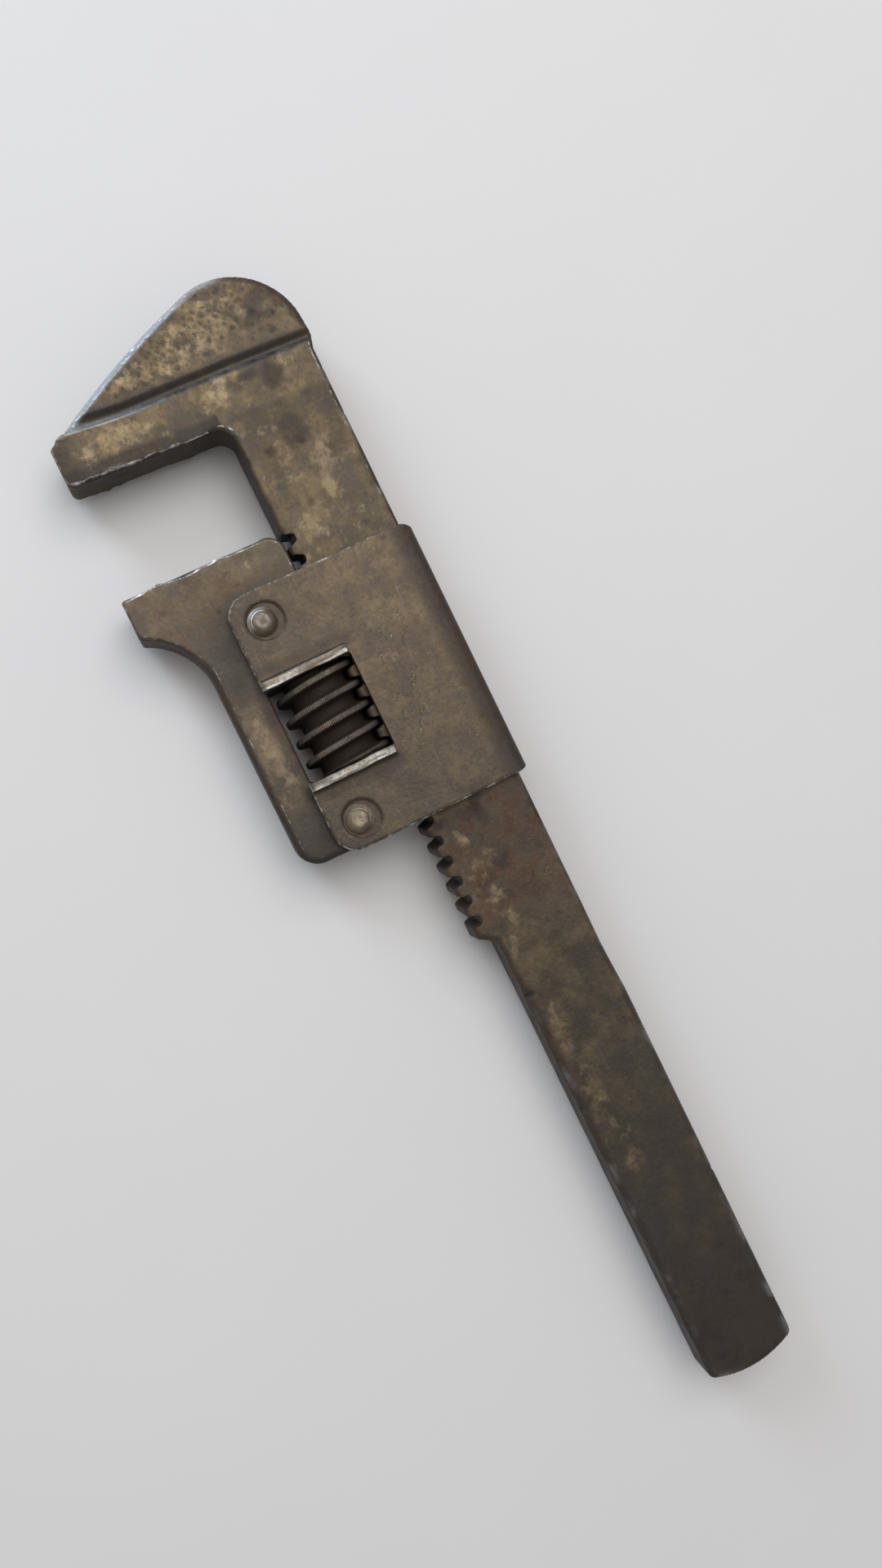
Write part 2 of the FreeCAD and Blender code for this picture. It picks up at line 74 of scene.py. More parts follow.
# places, from the frame
bar_low, bar_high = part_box("fixed_jaw_bar")
sleeve_low, sleeve_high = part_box("sleeve")
jaw_low, jaw_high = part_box("sliding_jaw")
worm_low, worm_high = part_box("adjusting_worm")
SLEEVE_BACK = 1.4        # how far the sleeve reaches behind the line that across starts from
ORIGIN = np.array([bar_low.x, sleeve_low.y + SLEEVE_BACK * MM, (bar_low.z + bar_high.z) / 2])
LENGTH = (bar_high.x - bar_low.x) / MM
HALF_BAR = (bar_high.z - bar_low.z) / 2 / MM
HALF_JAW = (jaw_high.z - jaw_low.z) / 2 / MM
SLEEVE_START = (sleeve_low.x - ORIGIN[0]) / MM
SLEEVE_END = (sleeve_high.x - ORIGIN[0]) / MM
SLEEVE_FRONT = (sleeve_high.y - ORIGIN[1]) / MM
LIP_TOP = (sleeve_high.z - ORIGIN[2]) / MM
JAW_FACE = (jaw_high.x - ORIGIN[0]) / MM
WORM_START = (worm_low.x - ORIGIN[0]) / MM
WORM_END = (worm_high.x - ORIGIN[0]) / MM
WORM_MIDDLE = (WORM_START + WORM_END) / 2


# ---------------------------------------------------------------- noise
HASH_FACTORS = (374761393, 668265263, 2147483647)    # one for each axis
HASH_ROUNDS = ((15, 2246822519), (13, 3266489917))   # shift and factor
LOW_BITS = np.uint64(0xFFFFFFFF)


def lattice(cells, seed):
    """A repeatable random number from 0 to 1 for each whole-number cell, in up to three axes."""
    mixed = np.zeros(cells.shape[:-1], dtype=np.uint64)
    for axis, factor in enumerate(HASH_FACTORS[:cells.shape[-1]]):
        shifted = cells[..., axis].astype(np.int64) + 10007 * (axis + 1)
        mixed ^= shifted.astype(np.uint64) * np.uint64(factor)
    mixed ^= np.uint64(seed * 2654435761 % (1 << 32))
    for shift, factor in HASH_ROUNDS:
        mixed = (mixed ^ (mixed >> np.uint64(shift))) * np.uint64(factor)
        mixed &= LOW_BITS
    mixed ^= mixed >> np.uint64(16)
    return mixed.astype(np.float64) / float(1 << 32)


def noise(points, size, seed):
    """Smooth noise from -1 to 1 whose features are about size long, in up to three axes."""
    scaled = points / size
    cell = np.floor(scaled)
    part = scaled - cell
    part = part * part * (3 - 2 * part)
    axes = points.shape[-1]
    total = np.zeros(points.shape[:-1])
    for corner in range(1 << axes):
        offset = np.array([(corner >> axis) & 1 for axis in range(axes)])
        weight = np.prod(np.where(offset, part, 1 - part), axis=-1)
        total += weight * lattice(cell + offset, seed)
    return total * 2 - 1


def layered(points, size, seed, layers=3):
    """Noise in layers, each half the size and half the strength of the last."""
    total = sum(noise(points, size / 2 ** k, seed + k) / 2 ** k for k in range(layers))
    return total / sum(1 / 2 ** k for k in range(layers))


def spots(flat, cell, chance, seed):
    """Nearness, 1 at the middle and 0 at the rim, of round spots scattered one to a cell.

    chance is the share of cells that hold a spot, as one number or one for each point.
    """
    base = np.floor(flat / cell)
    nearest = np.zeros(len(flat))
    for dx in (-1, 0, 1):
        for dy in (-1, 0, 1):
            home = base + (dx, dy)
            centre = (home + np.stack([lattice(home, seed), lattice(home, seed + 1)], -1)) * cell
            radius = cell * (0.25 + 0.45 * lattice(home, seed + 2) ** 2)
            here = lattice(home, seed + 3) < chance
            distance = np.linalg.norm(flat - centre, axis=1)
            nearest = np.maximum(nearest, np.where(here, 1 - distance / radius, 0))
    return np.clip(nearest, 0, 1)


def ramp(values, start, end):
    """0 before start, 1 after end, and smooth between; start may be the larger."""
    share = np.clip((values - start) / (end - start), 0, 1)
    return share * share * (3 - 2 * share)


# ---------------------------------------------------------------- meshes
CAD_WELD = 1e-7          # metres within which points of a CAD mesh are one
SHARPNESS = 5.0          # 2 leaves an edge round, more makes it square
EDGE_REACH = 1.5         # how far from a bright edge line its closeness falls to 0
CREASE = math.radians(42)
SIDES_APART = 70         # keeps the spots of the top off those of the underside


def local(mesh):
    """The mesh's points in local millimetres."""
    flat = np.empty(len(mesh.vertices) * 3)
    mesh.vertices.foreach_get("co", flat)
    return (flat.reshape(-1, 3) - ORIGIN) / MM


def put_back(mesh, points):
    """Write local millimetres back to the mesh, kept inside the CAD object's box."""
    places = np.clip(points * MM + ORIGIN, np.array(cad_bounds[0]), np.array(cad_bounds[1]))
    mesh.vertices.foreach_set("co", places.ravel())
    mesh.update()


def normals(mesh):
    """The mesh's vertex normals."""
    flat = np.empty(len(mesh.vertices) * 3)
    mesh.vertex_normals.foreach_get("vector", flat)
    return flat.reshape(-1, 3)


def steepness(mesh):
    """1 where the surface stands upright and 0 where it lies flat."""
    return 1 - ramp(np.abs(normals(mesh)[:, 2]), 0.35, 0.8)


def unit(vectors):
    """The vectors, scaled to a length of 1."""
    return vectors / np.maximum(np.linalg.norm(vectors, axis=1), 1e-9)[:, None]


def both_sides(along, across, side):
    """Places on a plane where the top and the underside lie apart, so that their spots differ."""
    return np.stack([along, across + SIDES_APART * (side > 0)], -1)


def paint(mesh, **layers):
    """Store numbers from 0 to 1 on the mesh's points, for the materials to read by name."""
    for name, values in layers.items():
        layer = mesh.attributes.new(name, "FLOAT", "POINT")
        layer.data.foreach_set("value", np.clip(values, 0, 1))


def link(name, data):
    """A new object in the scene, with that mesh, light or camera."""
    piece = bpy.data.objects.new(name, data)
    bpy.context.scene.collection.objects.link(piece)
    return piece


def fine_copy(node, cell):
    """A copy of a CAD node with its surface divided into nearly even squares of that size."""
    mesh = frame["nodes"][node].data.copy()
    welded = bmesh.new()
    welded.from_mesh(mesh)
    bmesh.ops.remove_doubles(welded, verts=welded.verts, dist=CAD_WELD)
    welded.to_mesh(mesh)
    welded.free()
    mesh.materials.clear()
    piece = link("worn_" + node, mesh)
    remesh = piece.modifiers.new("even", "REMESH")
    remesh.mode = "VOXEL"
    remesh.voxel_size = cell * MM
    remesh.use_smooth_shade = True
    snap = piece.modifiers.new("snap", "SHRINKWRAP")
    snap.target = frame["nodes"][node]
    bpy.context.view_layer.update()
    graph = bpy.context.evaluated_depsgraph_get()
    piece.data = bpy.data.meshes.new_from_object(piece.evaluated_get(graph))
    piece.modifiers.clear()
    for name in [layer.name for layer in piece.data.attributes if not layer.is_internal]:
        if name not in ("position", "sharp_face", "sharp_edge"):
            piece.data.attributes.remove(piece.data.attributes[name])
    piece.data.name = piece.name
    piece.data.shade_smooth()
    return piece


class Outline:
    """The outline of a plate-like CAD node at its middle plane."""

    STEP = 0.15

    def __init__(self, node):
        section = bmesh.new()
        section.from_mesh(frame["nodes"][node].data)
        bmesh.ops.remove_doubles(section, verts=section.verts, dist=CAD_WELD)
        cut = bmesh.ops.bisect_plane(
            section, geom=section.verts[:] + section.edges[:] + section.faces[:],
            dist=1e-8, plane_co=Vector(ORIGIN) + UP * 1e-6, plane_no=UP)["geom_cut"]
        spots_on_line = []
        for edge in cut:
            if isinstance(edge, bmesh.types.BMEdge):
                ends = [(np.array(vertex.co) - ORIGIN)[:2] / MM for vertex in edge.verts]
                count = max(1, int(np.linalg.norm(ends[1] - ends[0]) / self.STEP))
                shares = (np.arange(count) + 0.5) / count
                spots_on_line.append(ends[0] + shares[:, None] * (ends[1] - ends[0]))
        section.free()
        self.points = np.concatenate(spots_on_line)
        self.tree = KDTree(len(self.points))
        for index, point in enumerate(self.points):
            self.tree.insert((point[0], point[1], 0), index)
        self.tree.balance()

    def inward(self, points):
        """Distance of each point from the outline, and the unit direction away from it."""
        distance = np.empty(len(points))
        nearest = np.empty((len(points), 2))
        for index, point in enumerate(points):
            place, _, distance[index] = self.tree.find((point[0], point[1], 0))
            nearest[index] = place[0], place[1]
        away = points[:, :2] - nearest
        return distance, away / np.maximum(distance, 1e-9)[:, None]


def round_rim(points, side_normals, outline, half, radius, power=2.0):
    """Round the rim of a plate over to a radius given for each point.

    A power of 2 rounds it, and a power near 1 cuts a flat bevel. Returns the moved points, how much
    each belongs to the rim, and how deep it lies inside the outline.
    """
    depth, away = outline.inward(points)
    away = np.where((depth < 0.25)[:, None], -unit(side_normals[:, :2]), away)
    side = np.sign(points[:, 2])
    across = radius - depth
    upward = np.abs(points[:, 2]) - (half - radius)
    reach = (np.maximum(across, 0) ** power + np.maximum(upward, 0) ** power) ** (1 / power)
    corner = (across > 0) & (upward > 0) & (reach > radius)
    pull = np.where(corner, radius / np.maximum(reach, 1e-9), 1.0)
    moved = points.copy()
    moved[:, :2] += away * (across * (1 - pull))[:, None]
    moved[:, 2] = np.where(corner, side * (half - radius + upward * pull), points[:, 2])
    rim = ramp(across, -0.4, radius * 0.9) * ramp(upward, -0.6, radius * 0.5)
    return moved, rim, depth


def square_edge(depth, lid, radius):
    """Sharpen a rounded edge, at those distances below its side and its lid.

    Returns how far each point moves out toward the side and toward the lid.
    """
    from_side = radius - depth
    from_lid = radius - lid
    inside = (from_side > 0) & (from_lid > 0)
    first = np.where(inside, from_side, 1.0)
    second = np.where(inside, from_lid, 1.0)
    power_sum = (first ** SHARPNESS + second ** SHARPNESS) ** (1 / SHARPNESS)
    grow = np.hypot(first, second) / power_sum
    return np.where(inside, first * (grow - 1), 0), np.where(inside, second * (grow - 1), 0)


def batter_edge(mesh, points, outline, where, outward, half, radius, seed):
    """Square the edges of a plate where told, and wear those of the face that looks outward wavy.

    Moves the points in place, and returns how near each is to such an edge.
    """
    near = np.zeros(len(points))
    index = np.nonzero(where)[0]
    place = points[index]
    depth, away = outline.inward(place)
    flat = normals(mesh)[index][:, :2]
    length = np.linalg.norm(flat, axis=1)
    use_normal = (depth < 0.6) & (length > 0.2)
    out = np.where(use_normal[:, None], unit(flat), -away)
    side = np.sign(place[:, 2])
    to_side, to_lid = square_edge(depth, half - np.abs(place[:, 2]), radius)
    place[:, :2] += out * to_side[:, None]
    place[:, 2] += side * to_lid
    depth = np.maximum(depth - to_side, 0)
    lid = half - np.abs(place[:, 2])
    share = ramp(depth, 1.1, 0.1) * ramp(lid, 1.3, 0.1)
    facing = ramp(out @ outward[:2], 0.5, 0.9)
    run = np.stack([place[:, 1], side * 40.0], -1)
    wave = 0.34 * noise(run, 3.4, seed) + 0.22 * noise(run, 1.3, seed + 1)
    push = share * (wave - 0.18) * (0.15 + 0.85 * facing)
    place[:, :2] += out * push[:, None]
    place[:, 2] += side * share * facing * (0.14 * noise(run, 1.5, seed + 2) - 0.06)
    points[index] = place
    # the nearness is drawn as a broken bright line: the worn burr of the jaw's face, with a painted
    # highlight along it
    broken = 0.91 + 0.09 * ramp(noise(run, 1.9, seed + 3), -0.35, 0.25)
    near[index] = closeness(np.maximum(np.maximum(depth, lid) - 0.25, 0)) * (0.9 + 0.1 * facing) * broken
    return near


def closeness(gap):
    """1 at a line and 0 from EDGE_REACH away; the materials draw thin bright lines from it: worn edges and
    painted highlights.
    """
    return 1 - np.clip(np.abs(gap) / EDGE_REACH, 0, 1)


def blob(points, along, across, long_radius, short_radius):
    """A soft oval patch, 1 at its middle, with a ragged rim."""
    ragged = 0.45 * layered(points, 3.0, 71) + 0.35 * layered(points, 1.3, 75)
    distance = np.hypot((points[:, 0] - along) / long_radius, (points[:, 1] - across) / short_radius)
    return ramp(distance + ragged, 1.25, 0.45)


def patched(base, points, ovals, strength, where=1.0, join=np.maximum):
    """The base joined with soft oval patches of that strength, on the part of the mesh told."""
    for oval in ovals:
        base = join(base, strength * blob(points, *oval) * where)
    return base


# ---------------------------------------------------------------- bar with the fixed jaw
FORGED_EDGE = 1.0        # rounding of the CAD bar's edges
JAW_EDGE = 0.7           # rounding of the CAD sliding jaw's edges
HANDLE_END = 98.0
HEAD_START = LENGTH - 17.5
KEPT_START, KEPT_END = 96.0, 204.0    # stretch of the front edge, round the rack, left as CAD
GROOVE_CAD = (HEAD_START - 0.1, HEAD_START + 0.5, HEAD_START + 2.9)
GROOVE_DEPTH = 0.7
GROOVE_WORN = 0.8        # its depth on the visual piece
NICK_DEPTH = 1.1
# nicks in the top edges: along, across, reach
NICKS = ((85.3, 18.3, 0.9), (61.0, 18.6, 0.5), (38.0, 0, 0.6), (139.0, 0, 0.5), (201.0, 0, 0.5),
         (210.5, -0.3, 0.6))
# soft oval patches: along, across, long radius, short radius
PITTED = ((LENGTH - 7, 15, 3.0, 6.0), (LENGTH - 9.5, 26, 2.2, 9.0))
BLACKENED = ((LENGTH - 20.8, 10.0, 3.2, 2.2), (LENGTH - 19.6, 14.6, 1.2, 2.4))
FAINT_DARK_PATCHES = ((LENGTH - 27.0, 50.5, 4.0, 2.5), (LENGTH - 31.5, 11.5, 5.0, 3.0),
          (LENGTH - 37.5, 17.0, 4.5, 1.8), (LENGTH - 34.0, 3.5, 6.0, 2.0),
          (LENGTH - 26.4, 15.0, 0.8, 7.0))
TAN_HEAD = ((LENGTH - 22, 22, 2.5, 4), (LENGTH - 19, 18, 3, 4), (LENGTH - 21, 42, 3, 9),
            (LENGTH - 8, 16, 6, 10), (LENGTH - 12, 28, 3, 12), (193.5, 8.5, 7, 2.4),
            (197.5, 15, 2.4, 2.2), (184, 15, 4, 3.5))
TAN_BELOW_SLEEVE = ((109, 16.0, 7, 2.4), (112, 13.0, 3, 2.4), (103, 14.5, 5, 2.6), (118, 16.5, 4, 1.4))
TAN_HANDLE = ((96, 16.5, 4, 1.4), (76, 15.5, 9, 2.0), (62, 14.6, 11, 2.4), (50, 13.4, 8, 2.4))


def mount_face(name):
    """A point on a mount's face and the face's outward normal, in local millimetres."""
    for mount in frame["record"]["mounts"]:
        if mount["name"] == name:
            return (np.array(mount["pos_m"]) - ORIGIN) / MM, np.array(mount["axis"])
    raise KeyError(name)


def straight_groove(along):
    """Depth of the CAD bar's groove across the head."""
    low, deep, high = GROOVE_CAD
    rise = np.clip((along - low) / (deep - low), 0, 1)
    fall = np.clip((high - along) / (high - deep), 0, 1)
    return GROOVE_DEPTH * np.minimum(rise, fall)


def groove_line(across):
    """Where the groove's lower lip runs."""
    return HEAD_START - 0.1 + 1.2 * ramp(across, 36, 54) - 0.3 * ramp(across, 20, 0)


def worn_groove(along, across):
    """Depth of the groove as forged: a steep lower side, a long upper side, and a curved far end."""
    offset = along - groove_line(across)
    return GROOVE_WORN * ramp(offset, -0.5, 0.9) * ramp(offset, 2.5, 1.0)


def head_side(along, across):
    """1 on the fixed jaw's head, where the groove runs, and 0 off its ends."""
    off_ends = ramp(across, 0.3, 1.2) * ramp(across, 50.5, 49)
    return ramp(along, HEAD_START - 6, HEAD_START - 4) * off_ends


def head_pits(points, along, flat, head):
    """Nearness to the pits, which crowd on the head beyond the groove."""
    crowd = 0.5 + 0.5 * layered(points, 6.5, 21)
    plateau = head * ramp(along, HEAD_START + 2.6, HEAD_START + 4.2)
    rough = plateau * (0.08 + 0.85 * ramp(crowd, 0.42, 0.70))
    rough = patched(rough, points, PITTED, plateau * 0.85)
    return np.maximum(spots(flat, 1.25, rough, 5), spots(flat, 0.8, rough * 0.8, 9))


def cut_nicks(points, along, across, up):
    """Cut the nicks into the points in place, and return how near each is to a nick."""
    nicks = np.zeros(len(points))
    for at, border, reach in NICKS:
        distance = np.hypot(along - at, (across - border) * 0.45)
        nick = ramp(distance, reach, 0) * (up > 2.0)
        points[:, 2] -= NICK_DEPTH * nick
        nicks = np.maximum(nicks, nick)
    return nicks


def bar_tan(points, along, lies_flat, rack, toe):
    """Where the bar's brown has worn to tan."""
    tan = 0.5 * ramp(layered(points, 7.5, 65), -0.25, 0.45) * ramp(along, 140, 195)
    for ovals, strength in ((TAN_HEAD, 0.8), (TAN_BELOW_SLEEVE, 0.82), (TAN_HANDLE, 0.6)):
        tan = patched(tan, points, ovals, strength, lies_flat)
    return tan * ((1 - 0.8 * rack) * (1 - 0.8 * toe))


def bar_rust(points, along, across):
    """Where the bar is rusty: round the lower end of the rack, and in stray clouds."""
    rust = ramp(along, 96, 106) * ramp(along, 140, 128) * 0.9
    rust = rust + 0.35 * ramp(layered(points, 8, 69), 0.1, 0.7)
    return np.maximum(rust, 0.6 * ramp(along, 100, 84) * ramp(across, 15.5, 18))


def shape_bar():
    """The forged bar: rounded rims, pitted head, worn jaw edges and a plain handle."""
    piece = fine_copy("fixed_jaw_bar", 0.37)
    mesh = piece.data
    outline = Outline("fixed_jaw_bar")
    points = local(mesh)
    along, across, up = points.T.copy()
    handle = ramp(along, HANDLE_END, HANDLE_END - 14)
    head = ramp(along, HEAD_START - 1, HEAD_START + 4)
    crown = head * ramp(across, 20, 8)
    brow_part = ramp(across, 9, 17) * ramp(along, HEAD_START - 1, HEAD_START + 2)
    radius = (FORGED_EDGE + 0.7 * handle + 0.2 * head + 0.8 * crown + 0.15 * brow_part
              + 0.15 * layered(points, 9, 3))
    rack = (ramp(across, 18.9, 19.3) * ramp(along, KEPT_START, KEPT_START + 1)
            * ramp(along, KEPT_END, KEPT_END - 1))
    rounded, rim, depth = round_rim(points, normals(mesh), outline, HALF_BAR,
                                    np.maximum(radius, FORGED_EDGE), 2 - 0.8 * brow_part)
    points += (rounded - points) * (1 - rack)[:, None]
    rim *= 1 - rack

    side = np.sign(up)
    upper_skin = ramp(np.abs(up), 1.0, HALF_BAR - 0.9)
    change = straight_groove(along) - worn_groove(along, across)
    points[:, 2] += side * change * upper_skin

    point_on_face, outward = mount_face("fixed_jaw_face")
    face_depth = (point_on_face - points) @ outward
    jaw_part = (across > 25.5) & (along < HEAD_START + 2)
    edge = batter_edge(mesh, points, outline, jaw_part, outward, HALF_BAR, FORGED_EDGE, 11)

    flat = both_sides(along, across, side)
    cheek = ramp(np.abs(up), HALF_BAR - 0.8, HALF_BAR - 0.25)
    pits = head_pits(points, along, flat, head)
    stray = (spots(flat, 2.6, 0.05 + 0.04 * ramp(along, 150, 200), 15)
             * ramp(np.abs(up), 3, HALF_BAR))
    steady = 1 - ramp(face_depth, 0.8, 0.0) * (across > 22)
    points[:, 2] -= side * cheek * (0.24 * pits ** 0.7 + 0.07 * stray)
    swell = 0.06 * layered(points, 14, 31) + 0.03 * layered(points, 3.2, 41) - 0.07
    points += normals(mesh) * (swell * steady * (1 - rack))[:, None]
    nicks = cut_nicks(points, along, across, up)
    put_back(mesh, points)
    mesh.set_sharp_from_angle(angle=CREASE)

    steep = steepness(mesh)
    on_head = head_side(along, across)
    lip_offset = along - groove_line(across)
    lip = ramp(np.abs(lip_offset - 0.1), 0.75, 0.25) * upper_skin * on_head
    # painted reflection: the head's rounded brow is painted bright over its bare worn metal, and its
    # brightest parts turn pale blue in the material
    bright = rim * head * brow_part * (1.1 + 0.5 * layered(points, 4, 52))
    bright += rim * 0.22 * (1 - head) * ramp(layered(points, 4, 53), -0.1, 0.6) * (1 - steep)
    # painted highlight along the groove's lower lip, strongest toward the jaws
    bright += lip * (0.05 + 0.45 * ramp(across, 24, 46) + 0.2 * layered(points, 1.1, 51))
    on_top = ramp(HALF_BAR - np.abs(up), 0.5, 0.2)
    by_rack = (ramp(across, 16, 17.5) * ramp(along, KEPT_START - 1, KEPT_START + 0.5)
               * ramp(along, KEPT_END + 1, KEPT_END - 0.5))
    # painted highlight: a thin bright line along the inner border of each rounded rim
    rim_highlight = (closeness(depth - radius * 0.85) * on_top * (1 - brow_part) * (1 - by_rack)
                * (1 - 0.12 * crown))
    line_strength = 0.92 - 0.1 * ramp(along, 130, 120)
    edge = np.maximum(edge, line_strength * rim_highlight * (1 - jaw_part))

    stain = ramp(layered(points, 5.5, 61), 0.18, 0.6) * (0.35 + 0.2 * head)
    jaw_band = (ramp(face_depth + 0.7 * layered(points, 2.5, 67), 3.2, 2.0)
                * ramp(face_depth, 0.1, 0.5) * (across > 23))
    groove_shade = (ramp(lip_offset, 0.4, 1.3) * ramp(lip_offset, 3.6, 1.6)
                    * on_head * upper_skin)
    # painted reflection: the groove's steep lower side is painted grey
    groove_slope_reflection = ramp(np.abs(lip_offset - 0.3), 1.1, 0.5) * on_head * upper_skin
    above_sleeve = ramp(along, SLEEVE_END, SLEEVE_END + 4)
    back_shade = rim * ramp(across, 14, 2) * above_sleeve * 0.9
    throat_rim = (rim * ramp(np.abs(across - 21.8), 1.5, 0.5)
                  * ramp(along, SLEEVE_END, SLEEVE_END + 3) * (1 - head))
    wall_shade = np.maximum(steep * (0.5 + 0.4 * ramp(across, 14, 18)), 0.7 * throat_rim)
    dark = (0.9 * pits * cheek + 0.5 * stray + stain + 0.8 * jaw_band * cheek
            + 0.35 * groove_shade)
    dark = patched(dark, points, BLACKENED, 0.8, cheek, np.add)
    # faint darker patches on the top
    dark = patched(dark, points, FAINT_DARK_PATCHES, 0.18, cheek, np.add)
    toe = ramp(across + 1.2 * layered(points, 2.5, 85), 48, 53)
    dark = dark + 0.7 * jaw_part * cheek * toe
    dark = dark + (0.7 * ramp(layered(points, 3.6, 83), 0.02, 0.4) * ramp(along, 98, 104)
                   * ramp(along, 134, 126))
    below_throat = (ramp(along - 0.04 * across, LENGTH - 25.8, LENGTH - 26.8)
                    * ramp(across, 21, 19) * ramp(along, 190, 200))
    dark = dark + 0.22 * below_throat + 0.3 * ramp(along, 105, 116) * ramp(along, 140, 126)
    dark = dark + 0.85 * ramp(along, 60, 6)
    dark = np.maximum(np.maximum(dark, nicks), np.maximum(wall_shade, back_shade))
    # painted shade on the steep walls of the rack's gaps
    dark = np.maximum(dark, rack * ramp(steep, 0.3, 0.7))
    # painted shade on the bar where it runs inside the sleeve
    under_sleeve_shade = (ramp(along, SLEEVE_START, SLEEVE_START + 2)
                    * ramp(along, SLEEVE_END + 1, SLEEVE_END - 1))
    dark = np.maximum(dark, 0.4 * under_sleeve_shade * ramp(across, 14, 16))
    # painted shade on the crown's rounded rim and on the rim round the butt end
    dark = np.maximum(dark, 0.85 * rim * crown)
    dark = np.maximum(dark, 0.7 * ramp(along, 6, 0) * rim) * (1 - 0.9 * np.clip(bright, 0, 1))
    tan = bar_tan(points, along, 1 - steep, rack, toe)
    soot = ramp(along, 140, 12) ** 0.85 * (1 - 0.7 * tan * ramp(along, 100, 90))
    # the grey layer holds the handle's darkening, the groove's painted shade and the painted reflection on
    # its lower side
    paint(mesh, bright=bright, dark=dark, tan=tan, rust=bar_rust(points, along, across), edge=edge,
          soot=np.maximum(soot, np.maximum(groove_slope_reflection, groove_shade)))
    return piece


# ---------------------------------------------------------------- sliding jaw
def shape_jaw():
    """The sliding jaw, with wavy worn edges at its face and rounded edges elsewhere."""
    piece = fine_copy("sliding_jaw", 0.32)
    mesh = piece.data
    outline = Outline("sliding_jaw")
    points = local(mesh)
    along, across, up = points.T.copy()
    off_sleeve = np.maximum(ramp(across, SLEEVE_FRONT - 0.5, SLEEVE_FRONT + 1),
                            ramp(along, SLEEVE_END - 1, SLEEVE_END + 1))
    stem = ramp(along, 174, 166) * ramp(across, 30, 36)
    growth = 0.05 + 0.75 * stem + 0.1 * layered(points, 6, 103)
    radius = np.maximum(JAW_EDGE + off_sleeve * growth, JAW_EDGE)
    points, rim, depth = round_rim(points, normals(mesh), outline, HALF_JAW, radius)
    _, outward = mount_face("sliding_jaw_face")
    at_face = (across > 26) & (along > JAW_FACE - 7)
    edge = batter_edge(mesh, points, outline, at_face, outward, HALF_JAW, JAW_EDGE, 111)
    steady = ramp(JAW_FACE - along, 0.0, 0.8) * off_sleeve
    swell = 0.05 * layered(points, 11, 131) + 0.03 * layered(points, 2.8, 141) - 0.05
    points += normals(mesh) * (swell * steady)[:, None]
    put_back(mesh, points)
    mesh.set_sharp_from_angle(angle=CREASE)

    side = np.sign(up)
    steep = steepness(mesh)
    stray = spots(both_sides(along, across, side), 2.2, 0.08, 115)
    # painted shade on the stem's rounded rim, where its side face turns away
    stem_rim = rim * stem
    rubbed = ramp(layered(points, 4, 153) + 0.3 * layered(points, 1.1, 151), 0.0, 0.6)
    bright = rim * 0.12 * off_sleeve * rubbed * (1 - steep) * (1 - stem_rim)
    on_top = ramp(HALF_JAW - np.abs(up), 0.5, 0.2)
    # painted highlight: a thin bright line along the inner border of the rounded rims
    rim_highlight = closeness(depth - radius * 0.85) * on_top * off_sleeve * (1 - at_face)
    edge = np.maximum(np.minimum(1.04 * edge, 1), 0.87 * rim_highlight)
    # painted shade on the jaw where it meets the sleeve's front edge and its upper end
    sleeve_front_shade = (ramp(across, SLEEVE_FRONT + 3.0, SLEEVE_FRONT)
                   * ramp(along, SLEEVE_END + 1, SLEEVE_END - 4))
    sleeve_end_shade = (ramp(along, SLEEVE_END + 4, SLEEVE_END - 2) * ramp(across, 48, 36)
                 * ramp(along, 156, 164))
    dark = (0.5 * stray + 0.6 * np.maximum(sleeve_front_shade, sleeve_end_shade)
            + 0.35 * ramp(layered(points, 6, 161), 0.1, 0.6))
    dark = dark + 0.35 * ramp(along, 142, 130)
    # painted shade on steep walls and the stem's rim
    dark = np.maximum(dark, np.maximum(0.95 * steep, 0.9 * stem_rim))
    dark *= 1 - 0.9 * np.clip(bright, 0, 1)
    tan = 0.3 * ramp(layered(points, 8, 165), -0.2, 0.5)
    tan = np.maximum(tan, 0.85 * blob(points, 148, 41, 9, 2.6))
    shaded = ramp(np.abs(along - 167), 9, 2) * ramp(across, 50, 40)
    # the grey layer here: darker toward the stem's lower end, and painted shade in a band across the jaw's
    # outer part next to the sleeve's upper end
    paint(mesh, bright=bright, dark=dark, tan=tan, edge=edge,
          rust=0.4 * ramp(layered(points, 6, 167), 0.1, 0.6),
          soot=np.maximum(0.95 * ramp(along, 144, 128), 0.75 * shaded))
    return piece


# ---------------------------------------------------------------- sleeve
CHEEK = LIP_TOP - 1.5    # height of the cheeks, which the lips stand above
SLEEVE_CORNER = 4.5
LIP_EDGE, LIP_FOOT = 11.4, 12.6    # distances of a lip's edge and foot from the worm's middle


